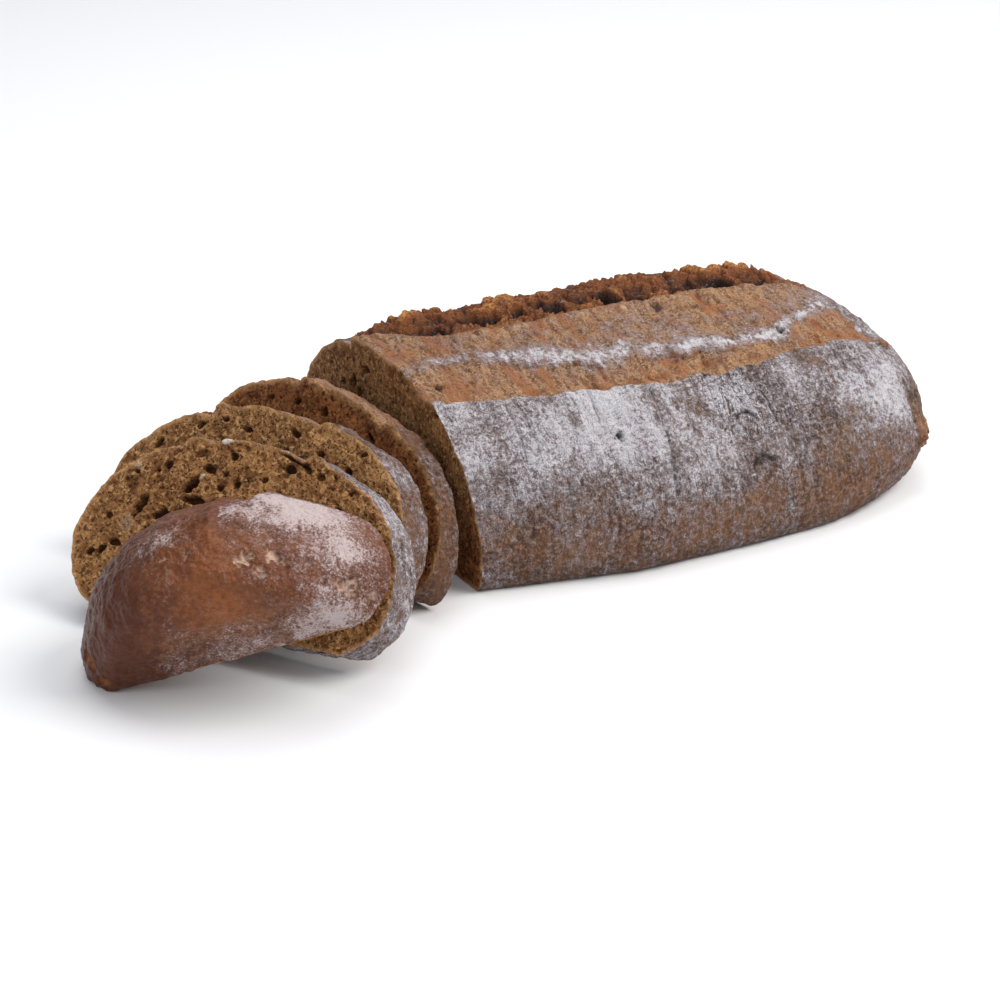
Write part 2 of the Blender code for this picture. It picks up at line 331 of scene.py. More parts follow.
# Spots round scattered points, full at the near distance and gone at the far one, where a draw keeps them
def spots(tree, place, scale, near, far, channel, low, high):
    cells = put(tree, "ShaderNodeTexVoronoi", {"Vector": place, "Scale": scale})
    draw = put(tree, "ShaderNodeSeparateColor", {0: cells.outputs["Color"]}).outputs[channel]
    shape = ramped(tree, cells.outputs["Distance"], near, far, 1.0, 0.0)
    return times(tree, shape, ramped(tree, draw, low, high))


def mask(tree, name):
    return put(tree, "ShaderNodeAttribute", {}, attribute_name=name).outputs["Fac"]


# Places pushed about by noise, so that a pattern drawn on them isn't even
def warped(tree, place, scale, amount):
    noise = put(tree, "ShaderNodeTexNoise", {"Vector": place, "Scale": scale, "Detail": 2.0}).outputs["Color"]
    centre = (0.5, 0.5, 0.5)
    off = put(tree, "ShaderNodeVectorMath", {0: noise, 1: centre}, operation="SUBTRACT").outputs[0]
    moved = put(tree, "ShaderNodeVectorMath", {0: off, "Scale": amount}, operation="SCALE").outputs[0]
    return put(tree, "ShaderNodeVectorMath", {0: place, 1: moved}, operation="ADD").outputs[0]


def newMaterial(name):
    material = bpy.data.materials.new(name)
    material.use_nodes = True
    return material, material.node_tree.nodes["Principled BSDF"]


def finished(tree, shader, colour, height, bump):
    tree.links.new(colour, shader.inputs["Base Color"])
    normal = put(tree, "ShaderNodeBump", {"Height": height, "Distance": bump, "Strength": 1.0}).outputs[0]
    tree.links.new(normal, shader.inputs["Normal"])


# Crust: brown under a broken coat of flour, tan where a score opened it, orange crags where it tore
def crustMaterial(name, look):
    material, shader = newMaterial(name)
    tree = material.node_tree
    place = put(tree, "ShaderNodeTexCoord", {}).outputs["Object"]
    down = put(tree, "ShaderNodeMapping", {"Vector": place, "Scale": (1.0, 0.25, 0.25)}).outputs[0]
    broad = noiseAt(tree, place, 55.0, 3.0)
    clump = noiseAt(tree, place, 230.0, 4.0, 0.6, 0.5)
    mid = noiseAt(tree, place, 620.0, 3.0, 0.6, 0.3)
    fine = noiseAt(tree, place, 1400.0, 3.0, 0.7)
    streak = noiseAt(tree, down, 520.0, 3.0, 0.6, 0.5)
    grit = noiseAt(tree, place, 2100.0, 2.0, 0.6)
    bare, torn, lift, crackle = (mask(tree, key) for key in ("bare", "torn", "lift", "crackle"))

    # Cracks: long ones down the side, and a net of two sizes in patches
    lines = times(tree, creases(tree, down, 300.0, 0.6, 0.026), crackle)
    patches = times(tree, ramped(tree, clump, 0.42, 0.58), ramped(tree, crackle, 0.1, 1.0))
    for scale, warp in ((400.0, 1.2), (760.0, 0.8)):
        nets = times(tree, creases(tree, place, scale, warp, 0.034), patches)
        lines = calc(tree, "MAXIMUM", lines, nets)

    brown = layered(tree, look["brownDark"], (
        (ramped(tree, broad, 0.35, 0.65), look["brown"]),
        (ramped(tree, mid, 0.46, 0.66, 0.0, 0.8), look["brownLight"]),
        (ramped(tree, fine, 0.34, 0.48, look["fleck"], 0.0), look["brownDark"]),
    ))
    tan = layered(tree, look["tanDark"], (
        (ramped(tree, streak, 0.38, 0.60), look["tan"]),
        (ramped(tree, fine, 0.48, 0.62, 0.0, 0.75), look["tanLight"]),
        (ramped(tree, mid, 0.36, 0.47, 0.85, 0.0), look["tanDark"]),
        (ramped(tree, clump, 0.54, 0.66, 0.0, 0.55), look["warm"]),
    ))
    # Torn crumb coloured by its height (lift): painted shade low down, painted highlight on the high crags,
    # with random red and darker specks
    crags = layered(tree, look["tornDark"], (
        (ramped(tree, lift, 0.05, 0.60), look["torn"]),
        (ramped(tree, lift, 0.62, 1.0), look["tornLight"]),
        (ramped(tree, mid, 0.38, 0.52, 0.7, 0.0), look["tornRed"]),
        (ramped(tree, fine, 0.38, 0.52, 0.6, 0.0), look["tornDark"]),
    ))
    base = layered(tree, brown, (
        (bare, tan),
        (times(tree, mask(tree, "warm"), ramped(tree, mid, 0.34, 0.54, look["gate"], 1.0)), look["warm"]),
        # painted shade: the shadow colour laid by its mask, with random darker mottle on the heel
        (mask(tree, "paintedShadeAndMottle"), look["shadow"]),
        (torn, crags),
        (mask(tree, "pale"), look["pale"]),
    ))

    # Flour is a soft veil where the mask and noise of four sizes add up, and whiter where they add up further
    noises = ((clump, look["clump"]), (mid, look["mid"]), (fine, look["speck"]), (streak, look["streak"]))
    tendency = weighed(tree, mask(tree, "flour"), noises + ((lines, -0.30),))
    tendency = calc(tree, "SUBTRACT", tendency, 0.5 * sum(weight for value, weight in noises))
    coat = ramped(tree, tendency, -0.04, 0.66, 0.0, look["coat"])
    powder = blended(tree, ramped(tree, tendency, 0.42, 0.96), look["flourDark"], look["flour"])
    closed = calc(tree, "SUBTRACT", 1.0, calc(tree, "MAXIMUM", torn, times(tree, bare, 0.65)))
    colour = layered(tree, base, (
        (coat, powder),
        (times(tree, ramped(tree, grit, 0.34, 0.46, look["grit"], 0.0), closed), look["brownDark"]),
        (times(tree, ramped(tree, grit, 0.56, 0.66, 0.0, look["grit"]), coat), look["flour"]),
        # painted shade in the cracks: their lines laid in the shadow colour
        (times(tree, lines, 0.60), look["shadow"]),
        # painted shade: near black laid in pits, cracks, nicks, holes and the gash's deep hollows
        (mask(tree, "paintedHollowShade"), look["paintedHollowShade"]),
    ))
    dull = calc(tree, "MAXIMUM", ramped(tree, coat, 0.0, 0.5, look["rough"], 0.95), times(tree, torn, 0.9))
    tree.links.new(dull, shader.inputs["Roughness"])
    shader.inputs["Specular IOR Level"].default_value = look["shine"]
    height = weighed(tree, times(tree, mid, 0.9), ((fine, 0.5), (streak, 0.6), (lines, -0.35), (coat, 0.3)))
    finished(tree, shader, colour, height, look["bump"])
    return material


# Crumb: brown sponge with pores of three sizes painted darker as shade and a few flecks, paler along the
# crust line at its edge
def crumbMaterial(name, look):
    material, shader = newMaterial(name)
    tree = material.node_tree
    place = put(tree, "ShaderNodeTexCoord", {}).outputs["Object"]
    bent = warped(tree, place, 450.0, 0.0022)
    broad = noiseAt(tree, place, 110.0, 3.0)
    mid = noiseAt(tree, place, 520.0, 4.0, 0.6, 0.8)
    fine = noiseAt(tree, place, 1500.0, 3.0, 0.7)
    # pores of three sizes, painted darker as shade and sunk by the bump
    pits = 0.0
    for scale, left, reach in ((300.0, 0.62, 0.34), (560.0, 0.50, 0.40), (950.0, 0.35, 0.42)):
        pit = spots(tree, bent, scale, reach * 0.45, reach, 0, left, left + 0.15)
        pits = calc(tree, "MAXIMUM", pits, pit)
    fleck = spots(tree, place, 190.0, 0.08, 0.20, 1, 0.84, 0.86)
    sponge = layered(tree, look["crumbDark"], (
        (ramped(tree, broad, 0.36, 0.64), look["crumb"]),
        (ramped(tree, mid, 0.46, 0.66, 0.0, 0.85), look["crumbLight"]),
        (ramped(tree, fine, 0.36, 0.52, 0.7, 0.0), look["crumbDark"]),
        (times(tree, pits, 0.75), look["paintedPoreShade"]),
        (times(tree, fleck, 0.6), look["fleck"]),
    ))
    # painted shade: the crumb multiplied by the shade colour by its mask
    sponge = blended(tree, mask(tree, "paintedCrumbShade"), sponge, look["shade"], "MULTIPLY")
    colour = layered(tree, sponge, (
        (mask(tree, "edge"), look["edge"]),
        (mask(tree, "oat"), look["oat"]),
        # painted shade in the large pores cut by the face
        (ramped(tree, mask(tree, "paintedPoreShade"), 0.0, 1.0, 0.0, 0.92), look["paintedPoreShade"]),
    ))
    shader.inputs["Roughness"].default_value = 0.9
    shader.inputs["Specular IOR Level"].default_value = 0.2
    finished(tree, shader, colour, weighed(tree, mid, ((fine, 0.5), (pits, -0.8))), look["bump"])
    return material


crustLook = {
    "brownDark": srgb(58, 38, 26), "brown": srgb(110, 79, 55), "brownLight": srgb(158, 122, 88),
    "tanDark": srgb(94, 60, 37), "tan": srgb(156, 115, 77), "tanLight": srgb(194, 160, 122),
    "warm": srgb(142, 84, 40), "tornDark": srgb(34, 17, 8), "torn": srgb(122, 70, 32),
    "tornRed": srgb(98, 47, 18), "tornLight": srgb(182, 124, 68), "pale": srgb(190, 156, 122),
    "shadow": srgb(46, 28, 20),
    "flour": srgb(197, 195, 201), "flourDark": srgb(146, 137, 141), "paintedHollowShade": srgb(22, 11, 6),
    "clump": 1.1, "mid": 1.3, "speck": 1.2, "streak": 0.6, "coat": 0.88, "grit": 0.5,
    "fleck": 0.6, "gate": 0.0, "rough": 0.62, "shine": 0.35, "bump": 0.0008,
}
heelLook = dict(
    crustLook, brownDark=srgb(76, 38, 21), brown=srgb(106, 60, 34), brownLight=srgb(126, 76, 46),
    warm=srgb(142, 81, 38), shadow=srgb(78, 35, 16), flour=srgb(188, 174, 173), flourDark=srgb(150, 128, 124),
    pale=srgb(196, 164, 142), clump=0.9, mid=1.2, speck=2.4, streak=0.5, grit=0.22, fleck=0.35, gate=0.50,
    rough=0.36, shine=0.22, bump=0.0004,
)
crumbLook = {
    "crumb": srgb(166, 120, 75), "crumbDark": srgb(116, 75, 41), "crumbLight": srgb(206, 162, 109),
    "paintedPoreShade": srgb(64, 33, 16), "fleck": srgb(84, 46, 24), "edge": srgb(200, 152, 106),
    "oat": srgb(226, 216, 200), "shade": srgb(205, 176, 156), "bump": 0.0007,
}
loafCrust = crustMaterial("loafCrust", crustLook)
heelCrust = crustMaterial("heelCrust", heelLook)
crumb = crumbMaterial("crumb", crumbLook)
print("stage: materials made")

# Marks on the loaf: distance along, angle up the section in degrees, then radius and depth in metres
marks = {
    "pits": (
        (0.0068, 69.3, 0.0022, 0.0026), (0.0568, 39.7, 0.0019, 0.0022), (0.0387, 25.6, 0.0013, 0.0010),
        (0.0764, 53.4, 0.0016, 0.0006), (0.1137, 42.2, 0.0018, 0.0007), (0.1573, 19.8, 0.0030, 0.0006),
    ),
    "crescents": ((0.1053, 36.1, 0.0042, 0.0016), (0.1063, 18.4, 0.0050, 0.0014)),
    "nicks": (
        (0.0593, 58.0, 0.0044, 0.0012), (0.0738, 57.3, 0.0036, 0.0010), (0.0841, 57.6, 0.0030, 0.0008),
        (0.1062, 59.2, 0.0040, 0.0011), (0.0400, 60.5, 0.0022, 0.0006), (0.1220, 58.4, 0.0030, 0.0007),
        (0.0690, 63.0, 0.0018, 0.0006), (0.0930, 62.5, 0.0020, 0.0006),
    ),
    # Holes in the scored bands: a three-cornered one at the lip and one where the strip of flour bends
    "holes": (
        (0.1045, 88.2, 0.0022, 0.0020), (0.1390, 68.4, 0.0020, 0.0018), (0.0210, 75.0, 0.0012, 0.0008),
        (0.1210, 76.0, 0.0014, 0.0007), (0.1330, 74.0, 0.0016, 0.0007), (0.0700, 83.0, 0.0013, 0.0008),
    ),
    # Cracks run down the side: distance along at their top and bottom, those two angles, width and depth
    "cracks": (
        (0.0768, 0.0715, 60.0, 12.0, 0.00055, 0.0010), (0.0985, 0.0960, 62.0, 34.0, 0.00050, 0.0007),
        (0.1180, 0.1160, 58.0, 26.0, 0.00050, 0.0007), (0.0540, 0.0520, 62.0, 44.0, 0.00040, 0.0005),
        (0.0235, 0.0225, 60.0, 36.0, 0.00040, 0.0004), (0.0340, 0.0330, 30.0, 8.0, 0.00040, 0.0004),
        (0.0455, 0.0440, 62.0, 40.0, 0.00045, 0.0005), (0.0870, 0.0850, 40.0, 6.0, 0.00045, 0.0006),
    ),
    # Thick flour on the side, then bare patches: distance along, angle, radius and amount
    "thick": (
        (0.005, 39.0, 0.005, 0.30), (0.036, 49.0, 0.005, 0.25), (0.029, 35.0, 0.007, 0.25),
        (0.054, 54.0, 0.009, 0.28), (0.050, 38.0, 0.012, 0.25), (0.063, 50.0, 0.009, 0.25),
        (0.068, 36.0, 0.011, 0.12), (0.095, 49.0, 0.006, 0.35), (0.088, 26.0, 0.011, 0.22),
        (0.104, 41.0, 0.008, 0.25), (0.167, 32.0, 0.011, 0.30), (0.171, 22.0, 0.006, 0.15),
        (0.132, 47.0, 0.008, 0.20), (0.150, 42.0, 0.007, 0.20), (0.112, 22.0, 0.006, 0.12),
        (0.175, 40.0, 0.008, 0.25), (0.012, 56.0, 0.006, 0.15), (0.020, 26.0, 0.007, 0.12),
        (0.060, 12.0, 0.004, 0.25), (0.177, 8.0, 0.003, 0.35),
    ),
    "worn": (
        (0.0447, 49.0, 0.0026, 0.45), (0.091, 46.0, 0.0036, 0.40), (0.118, 52.0, 0.006, 0.15),
        (0.014, 48.0, 0.006, 0.18), (0.040, 57.0, 0.004, 0.20), (0.183, 18.0, 0.009, 0.60),
        (0.140, 30.0, 0.012, 0.10), (0.079, 30.0, 0.006, 0.12),
    ),
    "knobs": (
        (0.1790, 58.0, 0.0024, 0.0026), (0.1815, 2.0, 0.0034, 0.0026), (0.1790, 8.0, 0.0030, 0.0022),
        (0.1850, 7.0, 0.0026, 0.0022), (0.1560, 70.0, 0.0016, 0.0012), (0.1690, 62.0, 0.0016, 0.0014),
    ),
    "lipCrumbs": (
        (0.0500, 89.6, 0.0013, 0.0011), (0.0917, 88.8, 0.0012, 0.0010), (0.0540, 89.8, 0.0009, 0.0008),
        (0.0330, 88.8, 0.0010, 0.0009), (0.0760, 89.6, 0.0009, 0.0008), (0.1130, 89.8, 0.0010, 0.0008),
    ),
    # Deep hollows behind the gash's lip: distance along, half length, and the shares of its width they reach
    "hollows": (
        (0.0480, 0.0062, 0.12, 0.62), (0.0755, 0.0046, 0.16, 0.66), (0.0959, 0.0034, 0.20, 0.60),
        (0.1065, 0.0036, 0.08, 0.44), (0.1250, 0.0040, 0.18, 0.56), (0.1434, 0.0048, 0.18, 0.64),
        (0.1600, 0.0034, 0.12, 0.44), (0.0282, 0.0026, 0.28, 0.52), (0.0620, 0.0020, 0.40, 0.60),
        (0.0860, 0.0018, 0.45, 0.62),
    ),
}

# The strip of flour between the bands: distances along, then across
flourStrip = (
    (0.0000, 0.0112, 0.0252, 0.0347, 0.0400, 0.0514, 0.0640, 0.0763, 0.0869, 0.1054, 0.1129, 0.1297,
     0.1384, 0.1468, 0.1535, 0.1635, 0.1730, 0.1900),
    (-0.0140, -0.0112, -0.0138, -0.0175, -0.0188, -0.0234, -0.0283, -0.0275, -0.0297, -0.0324, -0.0336,
     -0.0329, -0.0311, -0.0253, -0.0207, -0.0155, -0.0106, -0.0060),
)

# Stations lie evenly along the loaf's plan outline, and the scores stop at scoresEnd
scoresEnd = 0.166
count = 440
planX = np.linspace(0.0, loaf["tipRight"] - 1e-6, 20001)
planLength = np.concatenate([[0.0], np.cumsum(np.hypot(np.diff(planX), np.diff(halfWidth(planX))))])
stations = np.interp(np.linspace(0.0, planLength[-1], count), planLength, planX)
held = np.minimum(stations, scoresEnd)
ragged = np.stack([stations, 0.0 * stations, 0.0 * stations], axis=-1)
stepShare = shareAtY(held, stepLine(held) + 0.0015 * grain(ragged, 0.006, 4, 21))
lipShare = shareAtY(held, gashLip(held) + 0.0010 * grain(ragged, 0.004, 3, 22))
backShare = shareAtY(held, gashBack(held) + 0.0012 * grain(ragged, 0.008, 2, 23))
whole = np.ones(count)


# Distance in metres from each grid point to the nearer of its row's two ends
def insetOf(y, z):
    walked = walkedAlong(y, z)
    return np.minimum(walked, walked[:, -1:] - walked)


def roughness(points, seed=0):
    return 0.00030 * grain(points, 0.0024, 3, 41 + seed) + 0.00040 * grain(points, 0.0085, 2, 42 + seed)


def awayFrom(points, centre, squash=(1.0, 1.0, 1.0)):
    return np.linalg.norm((points - np.array(centre)) * np.array(squash), axis=-1)


# Noise that bends the outline of a soft round patch
def patchBend(points, radius, seed):
    return 0.3 * radius * grain(points, radius * 0.6, 2, seed)


# How far inside a round mark each point lies, its outline bent by noise
def markShare(points, mark, soft=0.6, seed=54):
    away = awayFrom(points, spot(mark[0], mark[1]))
    away = away + mark[2] * 0.60 * grain(points, max(mark[2] * 0.8, 0.0012), 2, seed)
    return ease((mark[2] - away) / (mark[2] * soft))


# Side crust: wrinkles run down it, and a net of shallow cracks covers its floury shoulder
def sideDetail(x, y, z, angle, inset):
    points, degrees = np.stack([x, y, z], axis=-1), np.degrees(angle)
    inner = ease(inset / 0.0015)
    tall = np.stack([x, y * 0.22, z * 0.22], axis=-1)
    out = inner * (0.00045 * grain(tall, 0.0024, 2, 43) + 0.00030 * grain(points, 0.0011, 2, 44))
    shoulder = ease((degrees - 26.0) / 12.0) * ease((x - 0.088) / 0.012) * ease((0.128 - x) / 0.012)
    first, second, owner = bubbles(stirred(points, 0.003, 0.0012, 51), 0.0028, 52)
    out -= inner * 0.00050 * bell(second - first, 0.00035) * shoulder
    # The painted shade of the cracks, pits and crescents gathers here
    paintedHollowShade = 0.0 * x
    for crack in marks["cracks"]:
        topX, lowX, topAngle, lowAngle, width, depth = crack
        share = np.clip((degrees - lowAngle) / (topAngle - lowAngle), -1.0, 2.0)
        off = x - (lowX + (topX - lowX) * share) - 0.0009 * grain(tall * 0.5, 0.003, 3, 53)
        reach = ease(share / 0.15) * ease((1.0 - share) / 0.15) * ease(1.2 + 1.6 * grain(tall, 0.004, 2, 57))
        out -= inner * depth * bell(off, width) * reach
        paintedHollowShade = np.maximum(paintedHollowShade, 0.50 * bell(off, width * 0.8) * reach)
    for pit in marks["pits"]:
        inside = markShare(points, pit)
        out -= inner * pit[3] * inside
        paintedHollowShade = np.maximum(paintedHollowShade, 0.80 * inside * min(pit[3] / 0.0018, 1.0))
    for crescent in marks["crescents"]:
        away = awayFrom(points, spot(crescent[0], crescent[1])) + 0.0005 * grain(points, 0.0020, 2, 58)
        upper = ease((angle - math.radians(crescent[1])) * 0.062 / crescent[2] + 0.45)
        ring = bell(away - crescent[2] * 0.75, crescent[2] * 0.20) * upper
        out -= inner * crescent[3] * (0.9 * ring + 0.35 * ease((crescent[2] * 0.8 - away) / crescent[2]))
        paintedHollowShade = np.maximum(paintedHollowShade, 0.70 * ring)
    flour = 0.20 + 0.26 * ease((degrees - 2.0) / 26.0) + 0.14 * ease((degrees - 26.0) / 16.0)
    flour += 0.10 * grain(points, 0.017, 2, 55) + 0.10 * grain(tall, 0.005, 2, 56)
    flour -= 0.14 * ease((x - 0.110) / 0.030) * ease((0.165 - x) / 0.020)
    for along, up, radius, amount in marks["thick"]:
        flour += amount * bell(awayFrom(points, spot(along, up)) + patchBend(points, radius, 59), radius)
    for along, up, radius, amount in marks["worn"]:
        away = awayFrom(points, spot(along, up), (1.0, 0.6, 0.6))
        flour -= amount * bell(away + patchBend(points, radius, 60), radius)
    # painted shade, darker towards the base
    return out, {
        "flour": flour, "warm": 0.35 * ease((30.0 - degrees) / 25.0),
        "paintedShadeAndMottle": 0.35 * ease((0.013 - z) / 0.013), "paintedHollowShade": np.clip(paintedHollowShade, 0.0, 0.9),
        "crackle": np.clip(0.45 + shoulder, 0.0, 1.0),
    }


# The two bands that the scores opened: tan with fibres across them, and a broken strip of flour between
def bandDetail(x, y, z, angle, inset):
    points = np.stack([x, y, z], axis=-1)
    inner = ease(inset / 0.0012)
    streaked = np.stack([x, y * 0.30, z * 0.30], axis=-1)
    strip = np.interp(x, *flourStrip) + 0.0014 * grain(points, 0.007, 2, 61)
    lower = ease((strip - 0.004 - y) / 0.003)
    width = 0.0036 + 0.0018 * bell(x - 0.055, 0.024) + 0.0012 * grain(points, 0.009, 1, 68)
    onStrip = bell(y - strip, width) * ease((0.182 - x) / 0.01)
    out = inner * (0.00050 * grain(streaked, 0.0021, 2, 62) + 0.00018 * grain(points, 0.0010, 2, 63))
    out += inner * (0.00045 * grain(points, 0.0060, 2, 84) + 0.0004 * onStrip)
    out -= inner * 0.0006 * lower * bell(y - strip + 0.009, 0.005)
    ledge = bell(y - strip + 0.0048 + 0.0007 * grain(points, 0.003, 2, 85), 0.0008)
    ledge = ledge * ease(0.45 + 1.7 * grain(points, 0.006, 2, 86))
    ledge = ledge * ease((x - 0.028) / 0.012) * ease((0.150 - x) / 0.02)
    small = ease((grain(points * np.array([1.3, 0.45, 0.45]), 0.0028, 3, 69) - 0.66) / 0.22)
    out -= inner * (0.0008 * small + 0.0008 * ledge)
    # painted shade in the small pits and along the ledge, then in the nicks and holes
    paintedHollowShade = np.clip(0.22 * small + 0.35 * ledge, 0.0, 0.6)
    warm = 0.10 + 0.80 * ease(1.7 * grain(streaked, 0.0045, 3, 64) - 0.25) + 0.9 * small + 0.9 * ledge
    for nick in marks["nicks"]:
        away = awayFrom(points, spot(nick[0], nick[1]), (0.55, 1.5, 1.5))
        away = away * (1.0 + 0.3 * grain(points, 0.002, 2, 65))
        out -= inner * nick[3] * ease((nick[2] - away) / (nick[2] * 0.7))
        paintedHollowShade = np.maximum(paintedHollowShade, 0.35 * ease((nick[2] * 0.8 - away) / nick[2]))
        warm = np.maximum(warm, 1.0 * ease((nick[2] * 1.2 - away) / nick[2]))
    for hole in marks["holes"] + marks["pits"][:1]:
        inside = markShare(points, hole, 0.5, 66)
        out -= inner * hole[3] * inside
        paintedHollowShade = np.maximum(paintedHollowShade, 0.75 * inside * min(hole[3] / 0.0016, 1.0))
    warm = np.maximum(warm, 0.9 * ease((x - 0.146) / 0.01) * lower * ease(0.5 + grain(points, 0.005, 2, 66)))
    ending = ease((0.178 - x) / 0.008 + 0.8 * grain(points, 0.006, 2, 70))
    faint = 0.55 + 0.45 * ease((x - 0.022) / 0.014)
    flour = 0.02 + 0.54 * onStrip * faint - 0.08 * lower + 0.12 * grain(points, 0.009, 2, 67)
    flour += 0.28 * onStrip * grain(streaked, 0.0024, 3, 89)
    flour += 0.12 * bell(y - strip - 0.008, 0.009) * ease((x - 0.010) / 0.02)
    return out, {
        "flour": flour * ending + 0.45 * (1.0 - ending), "bare": ending, "crackle": 0.0 * x + 0.20,
        "warm": np.clip(warm, 0.0, 1.0) * ending, "paintedHollowShade": np.clip(paintedHollowShade, 0.0, 0.9),
    }


# Rounded lumps with creases between: height = sqrt(1 - (distance / radius)^2), less a bell on each border
def lumpy(points, size, seed):
    first, second, owner = bubbles(points, size, seed)
    dome = np.sqrt(np.clip(1.0 - (first / (size * 0.95)) ** 2, 0.0, 1.0)) * (0.45 + 0.55 * owner)
    return dome - 0.55 * bell(second - first, size * 0.11)


# The gash: lumps of torn crumb, with deep hollows behind the lip and a bumpy far edge
def tearDetail(x, y, z, angle, inset):
    points = np.stack([x, y, z], axis=-1)
    lip, back = gashLip(x), gashBack(x)
    across = np.clip((y - lip) / (back - lip), 0.0, 1.0)
    along = ease((0.180 - x) / 0.014) * ease((x + 0.002) / 0.012)
    inner = ease(inset / 0.0012) * along
    bent = stirred(points, 0.005, 0.0020, 71)
    lumps = 0.0030 * lumpy(bent, 0.0086, 72) + 0.0013 * lumpy(bent, 0.0034, 75)
    lumps += 0.0004 * grain(points, 0.0014, 2, 74) + 0.0016 * grain(bent, 0.0120, 2, 73)
    farEdge = 0.0020 * bell(across - 0.84, 0.16) * ease(0.6 + 0.9 * grain(bent, 0.0090, 2, 78))
    deep = 0.0 * x
    for start, half, near, far in marks["hollows"]:
        away = np.abs(x - start - 0.0012 * grain(points, 0.0030, 2, 77) + 0.004 * (across - near))
        reach = ease((half * 1.25 - away) / (half * 0.45))
        bound = 0.05 * grain(points, 0.0035, 2, 79)
        reach = reach * ease((across + bound - near) / 0.05) * ease((far - across + bound) / 0.10)
        deep = np.maximum(deep, reach)
    height = lumps + farEdge - 0.0010 - 0.0070 * deep
    # lift paints the torn crumb's shade and highlight: darker lower down and towards the cut end, lighter
    # along the lip
    lift = np.clip(0.32 + height / 0.0056 - 0.20 * ease((0.052 - x) / 0.020), 0.0, 1.0)
    lift = np.where(across < 0.06, np.maximum(lift, 0.60), lift)
    # the deep hollows also get painted shade
    return inner * height, {
        "flour": 0.35 * (1.0 - along) - 0.15 * along, "bare": 0.6 + 0.0 * x, "warm": 0.4 + 0.0 * x,
        "torn": ease(inset / 0.0006) * along, "lift": lift, "paintedHollowShade": np.clip(0.85 * deep * inner, 0.0, 0.85),
    }


def backDetail(x, y, z, angle, inset):
    points = np.stack([x, y, z], axis=-1)
    out = ease(inset / 0.0015) * 0.00035 * grain(points * np.array([1.0, 0.3, 0.3]), 0.0026, 2, 81)
    flour = 0.42 + 0.14 * grain(points, 0.018, 2, 82) - 0.24 * ease((angle - 2.7) / 0.4)
    opened = ease((0.009 - inset + 0.003 * grain(points, 0.005, 2, 83)) / 0.004) * ease((2.3 - angle) / 0.2)
    opened = opened * ease((0.176 - x) / 0.010)
    out = out + opened * ease(inset / 0.0015) * 0.0011 * lumpy(points, 0.0045, 87)
    # painted shade, darker towards the base
    return out, {
        "flour": flour - 0.6 * opened, "torn": 0.9 * opened, "warm": 0.0 * x, "crackle": 0.0 * x + 0.4,
        "lift": 0.30 + 0.30 * grain(points, 0.004, 2, 88), "paintedShadeAndMottle": 0.35 * ease((0.013 - z) / 0.013),
    }


def knobRelief(points, knobs):
    out = 0.0
    for along, degrees, radius, rise in knobs:
        away = awayFrom(points, spot(along, degrees))
        out = out + rise * ease((radius * 1.5 - away) / radius) * (1.0 + 0.35 * grain(points, 0.0018, 3, 91))
    return out


def loafPiece(name, fromShare, toShare, columns, detail):
    x, y, z, angle = sectionGrid(stations, fromShare, toShare, columns)
    points = np.stack([x, y, z], axis=-1)
    extra, masks = detail(x, y, z, angle, insetOf(y, z))
    steady = ease(z / 0.004)
    knobs = knobRelief(points, marks["knobs"])
    crumbs = knobRelief(points, marks["lipCrumbs"])
    out = mainRelief(x, y, z, angle) + steady * (extra + roughness(points) + knobs + crumbs)
    share = ease(knobs / 0.0014)
    masks["warm"] = np.maximum(masks["warm"], 0.6 * share)
    masks["flour"] = masks["flour"] * (1.0 - share) + 0.10 * share
    masks["bare"] = np.maximum(masks.get("bare", 0.0), 0.9 * share)
    masks["pale"] = 0.7 * ease(crumbs / 0.0008)
    grid = raised(x, y, z, out)
    grid[..., 0] += math.tan(loaf["slant"]) * grid[..., 1] * ease(1.0 - grid[..., 0] / loaf["widestAt"])
    grid[-1] = grid[-1].mean(axis=0)
    return name, grid, masks


def standing(piece, node):
    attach(piece, "root")
    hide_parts(node)


base = {"columns": 150, "bands": 116, "tear": 140, "back": 70}
loafParts = [
    loafPiece("loafSideCrust", 0.0 * whole, stepShare, base["columns"], sideDetail),
    loafPiece("loafScoredBands", stepShare, lipShare, base["bands"], bandDetail),
    loafPiece("loafTornGash", lipShare, backShare, base["tear"], tearDetail),
    loafPiece("loafBackCrust", backShare, whole, base["back"], backDetail),
]
tip = np.mean([grid[-1, 0] for name, grid, masks in loafParts], axis=0)
for name, grid, masks in loafParts:
    grid[-1] = tip
    standing(sheet(name, grid + frameShift, masks, loafCrust), "loaf")

# The loaf's underside: straight lines between its two lower corners, with painted shade all over
under = np.linspace(0.0, 1.0, 16)[None, :, None]
underGrid = loafParts[3][1][:, -1:, :] * (1.0 - under) + loafParts[0][1][:, :1, :] * under
underMasks = {"flour": 0.30 + 0.0 * underGrid[..., 0], "paintedShadeAndMottle": 0.30 + 0.0 * underGrid[..., 0]}
standing(sheet("loafUnderside", underGrid + frameShift, underMasks, loafCrust), "loaf")


# Distance from a turned ellipse's middle, in shares of its half length and half width
def ellipseAway(flatGrid, middleY, middleZ, along, wide, turn):
    offY, offZ, turned = flatGrid[..., 0] - middleY, flatGrid[..., 1] - middleZ, math.radians(turn)
    runs = (offY * math.cos(turned) + offZ * math.sin(turned)) / along
    over = (-offY * math.sin(turned) + offZ * math.cos(turned)) / wide
    return np.hypot(runs, over)
